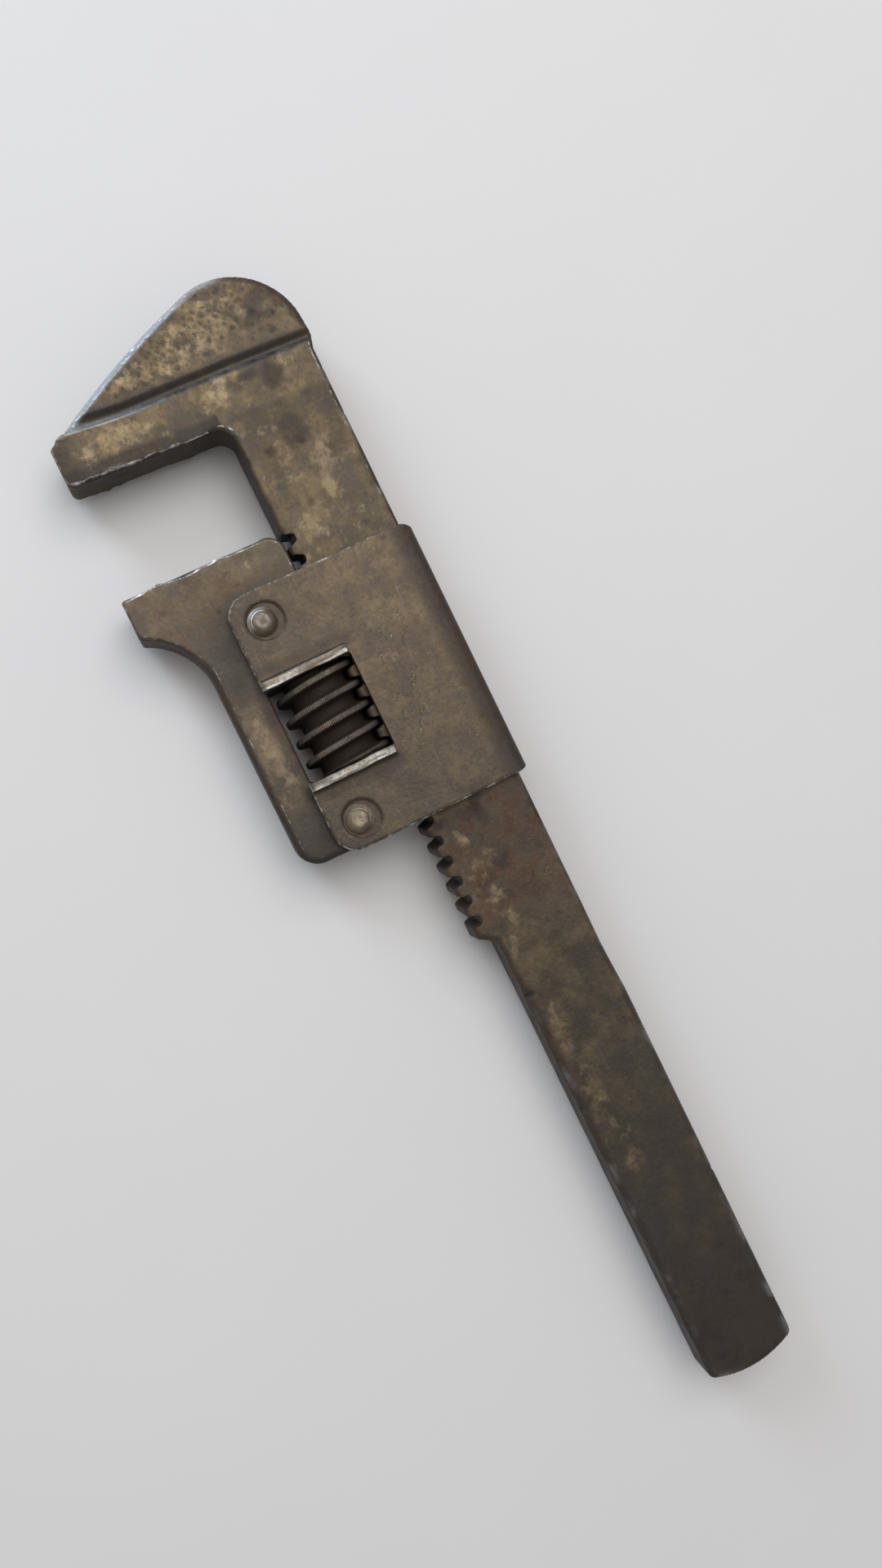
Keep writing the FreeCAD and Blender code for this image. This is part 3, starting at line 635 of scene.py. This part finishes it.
def shape_sleeve():
    """The folded sleeve, with worn edges and battered lips."""
    piece = fine_copy("sleeve", 0.34)
    mesh = piece.data
    points = local(mesh)
    along, across, up = points.T.copy()
    side = np.sign(up)
    lip = ramp(np.abs(up), CHEEK + 0.4, LIP_TOP - 0.2)
    run = np.stack([across, 30 * side + 9 * np.sign(along - WORM_MIDDLE)], -1)
    points[:, 2] += side * lip * (0.14 * noise(run, 2.4, 203) + 0.06 * noise(run, 0.9, 204) - 0.08)
    points[:, 0] += lip * (0.14 * noise(run, 3.1, 205) + 0.07 * noise(run, 1.2, 206))
    front_fall = ramp(across, SLEEVE_FRONT - 0.9, SLEEVE_FRONT + 0.1)
    points[:, 2] -= side * lip * front_fall * 0.55
    bend_back = ramp(across, 1.5, -1.4)
    points[:, 0] -= 1.0 * bend_back ** 2 * ramp(along, SLEEVE_END - 4, SLEEVE_END)
    points[:, 0] += 0.4 * bend_back ** 2 * ramp(along, SLEEVE_START + 3, SLEEVE_START)
    outer = ramp(np.abs(up), CHEEK - 1.0, CHEEK - 0.3)
    swell = outer * (1 - lip) * (0.06 * layered(points, 13, 231) + 0.02 * layered(points, 2.4, 241))
    points[:, 2] += side * swell
    to_end = np.minimum(along - SLEEVE_START, SLEEVE_END - along)
    to_front = SLEEVE_FRONT - across
    points[:, 0] += 0.06 * noise(run, 2.0, 245) * ramp(to_end, 1.0, 0.0)
    put_back(mesh, points)

    speckle = layered(points, 0.9, 251)
    streak = noise(np.stack([across / 9, along], -1), 0.45, 253)
    corner = SLEEVE_CORNER - np.hypot(np.maximum(SLEEVE_CORNER - to_end, 0),
                                      np.maximum(SLEEVE_CORNER - to_front, 0))
    to_border = np.minimum(np.minimum(to_end, to_front), corner)
    # thin bright line along the sheet's borders: worn edges with a painted highlight
    edge = closeness(to_border - 0.12) * outer * 0.93
    # painted highlight streaks on the lips, over their worn bare end faces
    bright = lip * (0.27 + 0.34 * streak + 0.08 * speckle)
    nicked = (ramp(np.abs(across - 13.5 + (along - 149) * 0.1), 6, 1)
              * ramp(np.abs(along - 150), 19, 6) * outer)
    from_middle = np.abs(along - WORM_MIDDLE)
    notch_shade = (ramp(np.abs(from_middle - LIP_FOOT), 2.2, 0.4) * ramp(across, 17.5, 20.5)
                   * (1 - lip))
    # painted shade: a dark line along each lip's edge at the window
    lip_edge_shade = ramp(np.abs(from_middle - LIP_EDGE), 0.35, 0.05) * ramp(across, 19.5, 20.5)
    # painted shade: a dark band on the sleeve's back fold
    fold_shade = ramp(across + 0.3 * layered(points, 5, 255), 4.8, 0.8)
    dark = 0.3 * ramp(layered(points, 5, 263), 0.15, 0.6) + 0.4 * notch_shade + 0.7 * lip_edge_shade
    dark = dark + 0.3 * spots(both_sides(along, across, side), 1.8, 0.10, 215) * outer
    dark = dark + 0.22 * ramp(along, 165, 174) * ramp(across, 16, 24) * outer
    for rivet in ("upper_rivet", "lower_rivet"):
        low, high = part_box(rivet)
        middle = (np.array((low + high) / 2) - ORIGIN) / MM
        # painted shade in the shallow dish round each rivet, and a thin painted shade line along the dish's
        # rim
        ring = np.hypot(along - middle[0], across - middle[1] + 0.6)
        dark = np.maximum(dark, 0.3 * ramp(ring, 3.95, 3.6) * ramp(ring, 1.5, 2.6))
        arc = ramp(np.abs(ring - 3.85), 0.42, 0.12) * ramp(layered(points, 3.0, 269), -0.25, 0.15)
        dark = np.maximum(dark, 0.75 * arc * outer)
    dark = np.maximum(dark, 0.88 * fold_shade) * (1 - 0.9 * np.clip(bright, 0, 1))
    tan = (0.3 * ramp(layered(points, 9, 265), -0.3, 0.5)
           * ramp(along, SLEEVE_START + 5, SLEEVE_END - 15))
    tan = np.maximum(tan, 0.2 * blob(points, SLEEVE_END - 4, 24, 3, 7) * outer)
    paint(mesh, bright=bright, dark=dark, tan=tan, edge=edge, nicked=nicked,
          rust=0.12 * ramp(layered(points, 7, 267), 0.1, 0.6),
          soot=0.45 * ramp(along, SLEEVE_START + 30, SLEEVE_START))
    mesh.set_sharp_from_angle(angle=CREASE)
    return piece


# ---------------------------------------------------------------- rivets, worm
FINE_WELD = 2e-6         # metres within which points of a fine mesh are one
DOME_RADIUS = 2.75       # where a rivet's dome meets its brim
BRIM = 0.22              # height of the brim
SHANK_RADIUS = 2.27
RIVET_SIDES = 72


def grid_mesh(name, rows, closed_rows=True, closed_columns=True):
    """A mesh over a grid of points, rows by columns by three, in local millimetres."""
    count, width = rows.shape[:2]
    index = np.arange(count * width).reshape(count, width)
    down = np.roll(index, -1, 0) if closed_rows else index[1:]
    top = index if closed_rows else index[:-1]
    right = (lambda block: np.roll(block, -1, 1)) if closed_columns else (lambda block: block[:, 1:])
    left = (lambda block: block) if closed_columns else (lambda block: block[:, :-1])
    faces = np.stack([left(top), right(top), right(down), left(down)], -1).reshape(-1, 4)
    mesh = bpy.data.meshes.new(name)
    mesh.from_pydata((rows.reshape(-1, 3) * MM + ORIGIN).tolist(), [], faces.tolist())
    return mesh


def tidy_mesh(mesh):
    """Weld the mesh, drop faces with no area and turn its normals outward."""
    work = bmesh.new()
    work.from_mesh(mesh)
    bmesh.ops.remove_doubles(work, verts=work.verts, dist=FINE_WELD)
    bmesh.ops.dissolve_degenerate(work, edges=work.edges, dist=1e-6)
    bmesh.ops.recalc_face_normals(work, faces=work.faces)
    work.to_mesh(mesh)
    work.free()
    mesh.shade_smooth()


def tool_marks(place, marked, rings, outer, inner):
    """Nearness to the ring marks of a rivet, which show toward the marked angle."""
    spread = np.hypot(place[:, 0], place[:, 1])
    facing = ramp(np.cos(np.arctan2(place[:, 1], place[:, 0]) - marked), -0.1, 0.8)
    return sum(ramp(np.abs(spread - ring), outer, inner) for ring in rings) * facing


def build_rivet(node, seed, marked, shine):
    """A domed rivet with a low brim, dents, and ring marks of that shine toward one angle."""
    low, high = (np.array(corner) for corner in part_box(node))
    middle = ((low + high) / 2 - ORIGIN) / MM
    head_radius = (high[0] - low[0]) / 2 / MM
    tip = (high[2] - low[2]) / 2 / MM
    seat = CHEEK - 0.35
    rise = tip - seat
    shares = np.linspace(0, 1, 34)
    radii = head_radius * np.sin(shares * math.pi / 2) ** 0.9
    heights = seat + rise * np.clip(1 - (radii / DOME_RADIUS) ** 2.3, 0, 1) ** 0.75
    heights = np.maximum(heights, seat + BRIM * (1 - (radii / head_radius) ** 8))
    under_brim = head_radius * 0.985
    shank = [under_brim, SHANK_RADIUS, SHANK_RADIUS, under_brim]
    shank_heights = [seat - 0.06, seat - 0.1, -seat + 0.1, -seat + 0.06]
    radii = np.concatenate([radii, shank, radii[::-1]])
    heights = np.concatenate([heights, shank_heights, -heights[::-1]])
    angle = np.arange(RIVET_SIDES) / RIVET_SIDES * 2 * math.pi
    rows = np.empty((len(radii), RIVET_SIDES, 3))
    rows[..., 0] = radii[:, None] * np.cos(angle)
    rows[..., 1] = radii[:, None] * np.sin(angle)
    rows[..., 2] = heights[:, None]
    place = rows.reshape(-1, 3)
    side = np.sign(place[:, 2])
    spread = np.hypot(place[:, 0], place[:, 1])
    on_head = ramp(np.abs(place[:, 2]), seat, seat + 0.3)
    apart = place + seed * 9.0
    dents = 0.10 * layered(apart, 2.2, seed) + 0.05 * layered(apart, 0.8, seed + 1)
    tool = tool_marks(place, marked, (2.0, 2.35), 0.14, 0.0)
    flat_top = np.minimum(0, (tip - 0.28) - np.abs(place[:, 2])) * ramp(spread, 1.6, 0.6)
    place[:, 2] += side * on_head * (dents - 0.08 - 0.16 * tool + 0.6 * flat_top)
    rows = place.reshape(rows.shape)
    rows += middle * (1, 1, 0)
    mesh = grid_mesh("worn_" + node, rows, closed_rows=False)
    tidy_mesh(mesh)

    points = local(mesh) - middle * (1, 1, 0)
    spread = np.hypot(points[:, 0], points[:, 1])
    height = np.abs(points[:, 2])
    # the dome is painted lighter and tan toward its top: a painted highlight, with polish from wear
    polish_and_highlight = ramp(height, seat + rise * 0.5, tip) * (0.14 + 0.3 * layered(points, 1.4, seed + 5))
    tool = tool_marks(points, marked, (2.1, 2.6), 0.26, 0.06)
    # painted shade round the dome's foot and on its brim
    at_brim = 0.5 * ramp(spread, DOME_RADIUS - 0.3, DOME_RADIUS) * (1 - 0.8 * tool)
    paint(mesh, bright=polish_and_highlight * (0.4 + shine) + shine * tool,
          dark=at_brim + 0.35 * ramp(layered(points, 1.2, seed + 7), 0, 0.7),
          tan=0.75 * ramp(height, seat + rise * 0.2, tip),
          rust=np.full(len(points), 0.15), soot=np.zeros(len(points)))
    return link("worn_" + node, mesh)


WORM_RADIUS = (worm_high.z - worm_low.z) / 2 / MM
WORM_ROOT = WORM_RADIUS - 2.35
WORM_BORE = 1.85
CREST = 1.0
FLANK = math.radians(15)
KNURLS = 124             # fine ridges in one turn of the crest
KNURL_STEPS = 5          # points along each ridge's wave
CREST_PLACE = 147.643    # where the crest crosses the jaws' side of the worm


def worm_pitch():
    """The thread's pitch: how far the jaw slides for one turn of the worm."""
    ratio = frame["record"]["behaviour"]["couplings"][0]["ratio"]
    return 2 * math.pi / ratio / MM


def build_worm():
    """The worm: one right-hand thread with fine knurling on its crest, and a bored core."""
    pitch = worm_pitch()
    axis = (np.array((worm_low + worm_high) / 2) - ORIGIN) / MM
    depth = WORM_RADIUS - WORM_ROOT
    slope = depth * math.tan(FLANK)
    half = CREST / 2
    foot = half + slope
    side = [(pitch / 2, depth), (pitch / 4 + foot / 2, depth), (foot - 0.02, depth - 0.08),
            (half + slope / 2, depth / 2), (half + 0.06, 0.16), (half - 0.03, 0.05),
            (half - 0.14, 0.0), (half / 3, 0.0)]
    profile = [(-offset, drop) for offset, drop in side] + side[::-1]
    offsets, drops = np.array(profile).T

    steps = KNURLS * KNURL_STEPS
    first_turn = math.floor((WORM_START - pitch / 2 - CREST_PLACE) / pitch * steps)
    last_turn = math.ceil((WORM_END + pitch / 2 - CREST_PLACE) / pitch * steps)
    turn = np.arange(first_turn, last_turn + 1)[:, None] / steps
    along = np.clip(CREST_PLACE + turn * pitch + offsets, WORM_START, WORM_END)
    skin = ring_points(worm_radius(along, turn, pitch, offsets, drops), along, turn, axis)
    shell = grid_mesh("worn_adjusting_worm", skin, closed_rows=False, closed_columns=False)

    around = np.arange(steps)[:, None] / steps
    rings = [WORM_START, WORM_START, WORM_START + 0.4, WORM_END - 0.4, WORM_END, WORM_END]
    core_along = np.broadcast_to(rings, (steps, len(rings)))
    core_radius = np.full(core_along.shape, WORM_BORE)
    core_radius[:, [1, 4]] += 0.4
    core_radius[:, [0, 5]] = worm_radius(core_along[:, [0, 5]], around, pitch, offsets, drops)
    core = grid_mesh("worm_core", ring_points(core_radius, core_along, around, axis), closed_columns=False)

    joined = bmesh.new()
    joined.from_mesh(shell)
    joined.from_mesh(core)
    joined.to_mesh(shell)
    joined.free()
    bpy.data.meshes.remove(core)
    tidy_mesh(shell)
    points = local(shell) - axis * (0, 1, 1)
    reach = np.hypot(points[:, 1], points[:, 2])
    turns = np.arctan2(points[:, 2], points[:, 1]) / (2 * math.pi)
    offset = (points[:, 0] - CREST_PLACE - turns * pitch + pitch / 2) % pitch - pitch / 2
    crest = ramp(np.abs(offset), half + 0.08, half - 0.05)
    tick = ramp(reach, WORM_RADIUS - 0.2, WORM_RADIUS - 0.05)
    lit = (ramp(points[:, 1], -WORM_RADIUS * 0.9, -WORM_RADIUS * 0.2)
           * ramp(points[:, 1], WORM_RADIUS * 0.95, WORM_RADIUS * 0.5))
    # painted light: the crest's band that faces up and down (lit) is tan and less dark, and it darkens where
    # the thread turns away; the flanks, root and knurl valleys get painted shade, with grime
    paint(shell, bright=crest * (0.1 * tick + 0.06 * layered(points, 3, 311)),
          dark=(1 - crest) + crest * (0.55 - 0.3 * lit) * (1 - tick) + 0.3 * crest * (1 - lit),
          rust=np.full(len(points), 0.3), tan=crest * lit * (0.3 + 0.5 * tick),
          soot=ramp(reach, WORM_RADIUS - 0.3, WORM_ROOT + 0.8))
    return link("worn_adjusting_worm", shell)


def worm_radius(along, turn, pitch, offsets, drops):
    """The worm's radius at a place along it and an angle, in turns."""
    offset = (along - CREST_PLACE - turn * pitch + pitch / 2) % pitch - pitch / 2
    drop = np.interp(offset, offsets, drops)
    ridge = 0.5 - 0.5 * np.cos(turn * 2 * math.pi * KNURLS)
    worn = 0.5 + 0.5 * noise(np.stack([turn * 30, turn * 0], -1), 2.0, 301)
    knurl = ramp(drop, 0.3, 0.0) * (0.04 + 0.15 * ridge * (0.55 + 0.45 * worn))
    bevel = np.clip(0.5 - np.minimum(along - WORM_START, WORM_END - along), 0, 0.5)
    return np.minimum(WORM_RADIUS - drop - knurl, WORM_RADIUS - bevel)


def ring_points(radius, along, turn, axis):
    """Points at those radii and angles round the worm's axis."""
    angle = np.broadcast_to(turn * 2 * math.pi, radius.shape)
    return np.stack([along, axis[1] + radius * np.cos(angle), axis[2] + radius * np.sin(angle)], -1)


# ---------------------------------------------------------------- materials
class Paint:
    """A node material, built with short calls. Sizes are in millimetres."""

    def __init__(self, name):
        self.material = bpy.data.materials.new(name)
        self.material.use_nodes = True
        self.nodes = self.material.node_tree.nodes
        self.links = self.material.node_tree.links
        self.shader = self.nodes["Principled BSDF"]
        self.place = self.nodes.new("ShaderNodeTexCoord").outputs["Object"]

    def feed(self, socket, value):
        """Link a socket to another node's output, or set it to a constant."""
        if isinstance(value, bpy.types.NodeSocket):
            self.links.new(value, socket)
        else:
            socket.default_value = value

    def grain(self, size, detail=3.0, roughness=0.55, stretch=(1, 1, 1), turn=0.0):
        """Smooth noise, mostly from 0.3 to 0.7, with features of that size."""
        mapping = self.nodes.new("ShaderNodeMapping")
        mapping.inputs["Scale"].default_value = [1 / (size * MM * part) for part in stretch]
        mapping.inputs["Rotation"].default_value = (0, 0, turn)
        self.links.new(self.place, mapping.inputs["Vector"])
        node = self.nodes.new("ShaderNodeTexNoise")
        node.inputs["Scale"].default_value = 1.0
        node.inputs["Detail"].default_value = detail
        node.inputs["Roughness"].default_value = roughness
        self.links.new(mapping.outputs[0], node.inputs["Vector"])
        return node.outputs["Fac"]

    def pores(self, size):
        """Distance from the nearest of many scattered points."""
        node = self.nodes.new("ShaderNodeTexVoronoi")
        node.inputs["Scale"].default_value = 1 / (size * MM)
        self.links.new(self.place, node.inputs["Vector"])
        return node.outputs["Distance"]

    def spread(self, value, low, high, to_low=0.0, to_high=1.0):
        """The value taken from one range to another, held inside it."""
        node = self.nodes.new("ShaderNodeMapRange")
        for socket, number in zip(node.inputs[1:5], (low, high, to_low, to_high)):
            socket.default_value = number
        self.links.new(value, node.inputs["Value"])
        return node.outputs["Result"]

    def combine(self, operation, first, second):
        """Two numbers put together by a math node, held between 0 and 1."""
        node = self.nodes.new("ShaderNodeMath")
        node.operation = operation
        node.use_clamp = True
        self.feed(node.inputs[0], first)
        self.feed(node.inputs[1], second)
        return node.outputs[0]

    def blend(self, share, first, second):
        """From the first colour to the second."""
        node = self.nodes.new("ShaderNodeMix")
        node.data_type = "RGBA"
        self.feed(node.inputs["Factor"], share)
        self.feed(node.inputs["A"], first)
        self.feed(node.inputs["B"], second)
        return node.outputs["Result"]

    def worn(self, name):
        """The number painted on the mesh's points under that name."""
        node = self.nodes.new("ShaderNodeAttribute")
        node.attribute_name = name
        return node.outputs["Fac"]

    def dent(self, height, depth, strength, before=None):
        """A bump of that depth, on top of the one before."""
        node = self.nodes.new("ShaderNodeBump")
        node.inputs["Distance"].default_value = depth * MM
        node.inputs["Strength"].default_value = strength
        self.links.new(height, node.inputs["Height"])
        if before is not None:
            self.links.new(before, node.inputs["Normal"])
        return node.outputs["Normal"]


def colour(red, green, blue):
    """A linear colour from one given as it is seen, 0 to 255."""
    def linear(value):
        value /= 255
        return value / 12.92 if value <= 0.04045 else ((value + 0.055) / 1.055) ** 2.4
    return linear(red), linear(green), linear(blue), 1.0


# dark brown for grime, and for painted shade
GRIME_AND_SHADE = colour(44, 35, 29)
# grey for soot, and for painted shade
SOOT_AND_SHADE_GREY = colour(56, 53, 50)
RUST = colour(78, 56, 41)
STAIN = colour(62, 55, 50)
BARE = colour(204, 203, 200)
CHIPPED = colour(150, 138, 116)
# pale blue for a painted reflection on the brightest parts
PAINTED_REFLECTION = colour(182, 202, 222)


def aged_steel(name, deep, plain, tan, gloss, scratches=0.08, rough=0.0, sheen=0.4):
    """Browned steel: mottled patina, tan worn patches, grime and painted shade, rust, edges worn to the
    metal with painted highlights and reflections, pits and scratches.
    """
    m = Paint(name)

    def painted(layer, strength):
        return m.combine("MULTIPLY", m.worn(layer), strength)

    cloud = m.spread(m.grain(6.0, 7.0, 0.66), 0.40, 0.60)
    fleck = m.grain(0.6, 3.0, 0.6)
    fine = m.grain(0.22, 2.0)
    shade = m.blend(cloud, deep, plain)
    shade = m.blend(m.spread(m.grain(2.0, 5.0, 0.6), 0.46, 0.62, 0.0, 0.45), shade, deep)
    ragged = m.spread(m.grain(2.6, 8.0, 0.7), 0.3, 0.7, 0.0, 0.62)
    patch = m.combine("ADD", painted("tan", 0.38), ragged)
    shade = m.blend(m.spread(patch, 0.48, 0.78, 0.0, 0.85), shade, tan)
    shade = m.blend(painted("rust", m.spread(m.grain(3.0, 5.0, 0.65), 0.38, 0.58)), shade, RUST)
    # the grey layer: the handle's darkening, and painted shade and painted reflection in grooves, hollows
    # and the worm's thread
    soot = painted("soot", m.spread(m.grain(5.0, 6.0, 0.62), 0.34, 0.6, 0.5, 1.0))
    shade = m.blend(soot, shade, SOOT_AND_SHADE_GREY)
    shade = m.blend(m.spread(m.grain(11.0, 5.0, 0.6), 0.48, 0.66, 0.0, 0.45), shade, STAIN)
    shade = m.blend(m.spread(fleck, 0.58, 0.74, 0.0, 0.3), shade, GRIME_AND_SHADE)
    lines = m.combine("MAXIMUM", m.spread(m.grain(0.5, 2.0, 0.5, (26, 0.26, 1), 0.05), 0.62, 0.76),
                      m.spread(m.grain(0.5, 2.0, 0.5, (0.26, 12, 1), 0.5), 0.66, 0.78))
    lines = m.combine("MULTIPLY", lines, m.spread(m.grain(5.0, 3.0), 0.48, 0.68, 0.0, scratches))
    shade = m.blend(lines, shade, BARE)
    # the dark layer: grime, pits and stains, and painted shade on walls, rims and in recesses
    dark = painted("dark", m.spread(m.grain(1.1, 4.0, 0.65), 0.32, 0.5, 1.0, 0.8))
    shade = m.blend(dark, shade, GRIME_AND_SHADE)
    # worn bare metal, and painted highlights where the bright layer is high
    bare_and_highlight = painted("bright", m.spread(fleck, 0.66, 0.46, 0.6, 1.0))
    # thin bright lines: worn edges and painted highlight lines along the rims
    edge = m.combine("ADD", m.worn("edge"), m.spread(m.grain(1.6, 4.0, 0.65), 0.3, 0.7, 0.0, 0.16))
    broken = m.spread(m.grain(1.8, 5.0, 0.7), 0.42, 0.60, 0.12, 0.95)
    edge = m.combine("MULTIPLY", m.spread(edge, 0.90, 1.02), broken)
    bare_and_highlight = m.combine("MAXIMUM", bare_and_highlight, edge)
    chip = m.spread(m.grain(1.0, 3.0, 0.6, (1.5, 0.8, 1), 0.8), 0.60, 0.70)
    chip = m.combine("MULTIPLY", chip, m.worn("nicked"))
    shade = m.blend(m.combine("MULTIPLY", chip, 0.55), shade, CHIPPED)
    # painted reflection: the brightest parts turn pale blue
    bare_and_reflection_colour = m.blend(m.spread(m.worn("bright"), 0.6, 0.95), BARE, PAINTED_REFLECTION)
    shade = m.blend(bare_and_highlight, shade, bare_and_reflection_colour)
    m.feed(m.shader.inputs["Base Color"], shade)
    m.feed(m.shader.inputs["Specular IOR Level"], sheen)
    metal = m.combine("ADD", m.spread(cloud, 0.0, 1.0, 0.5, 0.68), m.combine("MULTIPLY", bare_and_highlight, 0.4))
    m.feed(m.shader.inputs["Metallic"], m.combine("SUBTRACT", metal, m.spread(m.worn("dark"), 0, 1, 0, 0.3)))
    dull = m.combine("ADD", m.combine("MULTIPLY", cloud, 0.5), m.combine("MULTIPLY", fleck, 0.5))
    dull = m.spread(dull, 0.2, 0.85, gloss - 0.07, gloss + 0.10)
    dull = m.combine("ADD", dull, m.spread(m.worn("dark"), 0, 1, 0, 0.18))
    m.feed(m.shader.inputs["Roughness"], m.combine("SUBTRACT", dull, m.spread(bare_and_highlight, 0, 1, 0, 0.2)))
    bump = m.dent(m.spread(m.pores(1.3), 0.0, 0.35), 0.05, 0.35 + rough)
    bump = m.dent(m.grain(0.9, 4.0, 0.6), 0.12, 0.55 + rough, bump)
    bump = m.dent(fine, 0.04, 0.6, bump)
    bump = m.dent(lines, 0.02, 0.6, bump)
    bump = m.dent(m.combine("SUBTRACT", 1.0, chip), 0.16, 0.8, bump)
    m.feed(m.shader.inputs["Normal"], bump)
    return m.material


def paper():
    """Matte off-white paper with faint fibres."""
    m = Paint("pale_paper")
    white = m.blend(m.grain(60.0, 3.0), colour(204, 203, 202), colour(200, 199, 199))
    m.feed(m.shader.inputs["Base Color"], white)
    m.feed(m.shader.inputs["Roughness"], m.spread(m.grain(2.0), 0, 1, 0.75, 0.9))
    m.feed(m.shader.inputs["Normal"], m.dent(m.grain(0.5, 3.0), 0.03, 0.2))
    return m.material


# ---------------------------------------------------------------- the object
steels = {
    "forged_bar": aged_steel("aged_bar", colour(60, 51, 38), colour(103, 89, 67),
                             colour(138, 121, 92), gloss=0.46),
    "forged_jaw": aged_steel("aged_jaw", colour(69, 60, 49), colour(99, 87, 70),
                             colour(130, 114, 91), gloss=0.46),
    "sleeve_sheet": aged_steel("aged_sleeve", colour(66, 56, 45), colour(99, 86, 67),
                               colour(119, 104, 81), gloss=0.42, scratches=0.2),
    "worm_steel": aged_steel("aged_worm", colour(44, 38, 33), colour(70, 62, 53),
                             colour(112, 100, 82), gloss=0.45, sheen=0.12),
    "rivet_steel": aged_steel("aged_rivet", colour(88, 78, 62), colour(124, 111, 90),
                              colour(166, 152, 126), gloss=0.5, rough=0.1),
}
shapes = (
    ("fixed_jaw_bar", shape_bar, "bar", "forged_bar"),
    ("sliding_jaw", shape_jaw, "jaw", "forged_jaw"),
    ("sleeve", shape_sleeve, "jaw", "sleeve_sheet"),
    ("adjusting_worm", build_worm, "worm", "worm_steel"),
    ("upper_rivet", lambda: build_rivet("upper_rivet", 401, 0.6, 0.6), "jaw", "rivet_steel"),
    ("lower_rivet", lambda: build_rivet("lower_rivet", 431, -1.24, 0.15), "jaw", "rivet_steel"),
)
for node, build, body, slot in shapes:
    piece = build()
    piece.data.materials.append(steels[slot])
    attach(piece, body)
    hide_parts(node)

pin = frame["nodes"]["worm_pin"]
pin.data.materials.clear()
pin.data.materials.append(aged_steel("aged_pin", colour(70, 62, 54), colour(110, 100, 86),
                                     colour(150, 138, 118), gloss=0.4))

# ---------------------------------------------------------------- stage, light and camera
FLOOR = 1.5              # half the floor's side, in metres
floor_mesh = bpy.data.meshes.new("floor")
corners = [(x * FLOOR, y * FLOOR, 0) for x, y in ((-1, -1), (1, -1), (1, 1), (-1, 1))]
floor_mesh.from_pydata(corners, [], [(0, 1, 2, 3)])
floor_mesh.materials.append(paper())
floor = link("floor", floor_mesh)


LIT_PLACE = Vector((0.01, 0, 0.01))    # near the middle of the wrench


def lamp(name, place, size, power, tint):
    """A soft rectangular light, aimed near the middle of the wrench."""
    light = bpy.data.lights.new(name, "AREA")
    light.shape = "RECTANGLE"
    light.size, light.size_y = size
    light.energy = power
    light.color = tint
    holder = link(name, light)
    holder.location = place
    toward = LIT_PLACE - Vector(place)
    holder.rotation_euler = toward.to_track_quat("-Z", "Y").to_euler()


lamp("key", (0.36, -0.20, 0.90), (0.9, 0.8), 7.3, (1.0, 0.985, 0.97))
lamp("window", (0.84, 0.28, 0.46), (0.35, 0.45), 4.2, (0.70, 0.84, 1.0))
world = bpy.data.worlds.new("soft_room")
world.use_nodes = True
background = world.node_tree.nodes["Background"]
background.inputs["Color"].default_value = (1.0, 0.975, 0.965, 1.0)
background.inputs["Strength"].default_value = 0.44
bpy.context.scene.world = world
bpy.context.scene.view_settings.view_transform = "Standard"

# the camera, at the photo's angle, in metres
EYE = Vector((0.02014, 0.025977, 0.24495))
TARGET = Vector((0.012152, -0.011132, 0.01345))
CAMERA_UP = Vector((0.89891, -0.43639, 0.03894))
SENSOR, LENS = 36.0, 28.26             # millimetres
camera_data = bpy.data.cameras.new("camera")
camera_data.sensor_width = SENSOR
camera_data.lens = LENS
camera_data.clip_start = 0.01
camera = link("camera", camera_data)
backward = (EYE - TARGET).normalized()
rightward = CAMERA_UP.cross(backward).normalized()
upward = backward.cross(rightward)
turned = Matrix((rightward, upward, backward)).transposed().to_4x4()
camera.matrix_world = Matrix.Translation(EYE) @ turned
bpy.context.scene.camera = camera
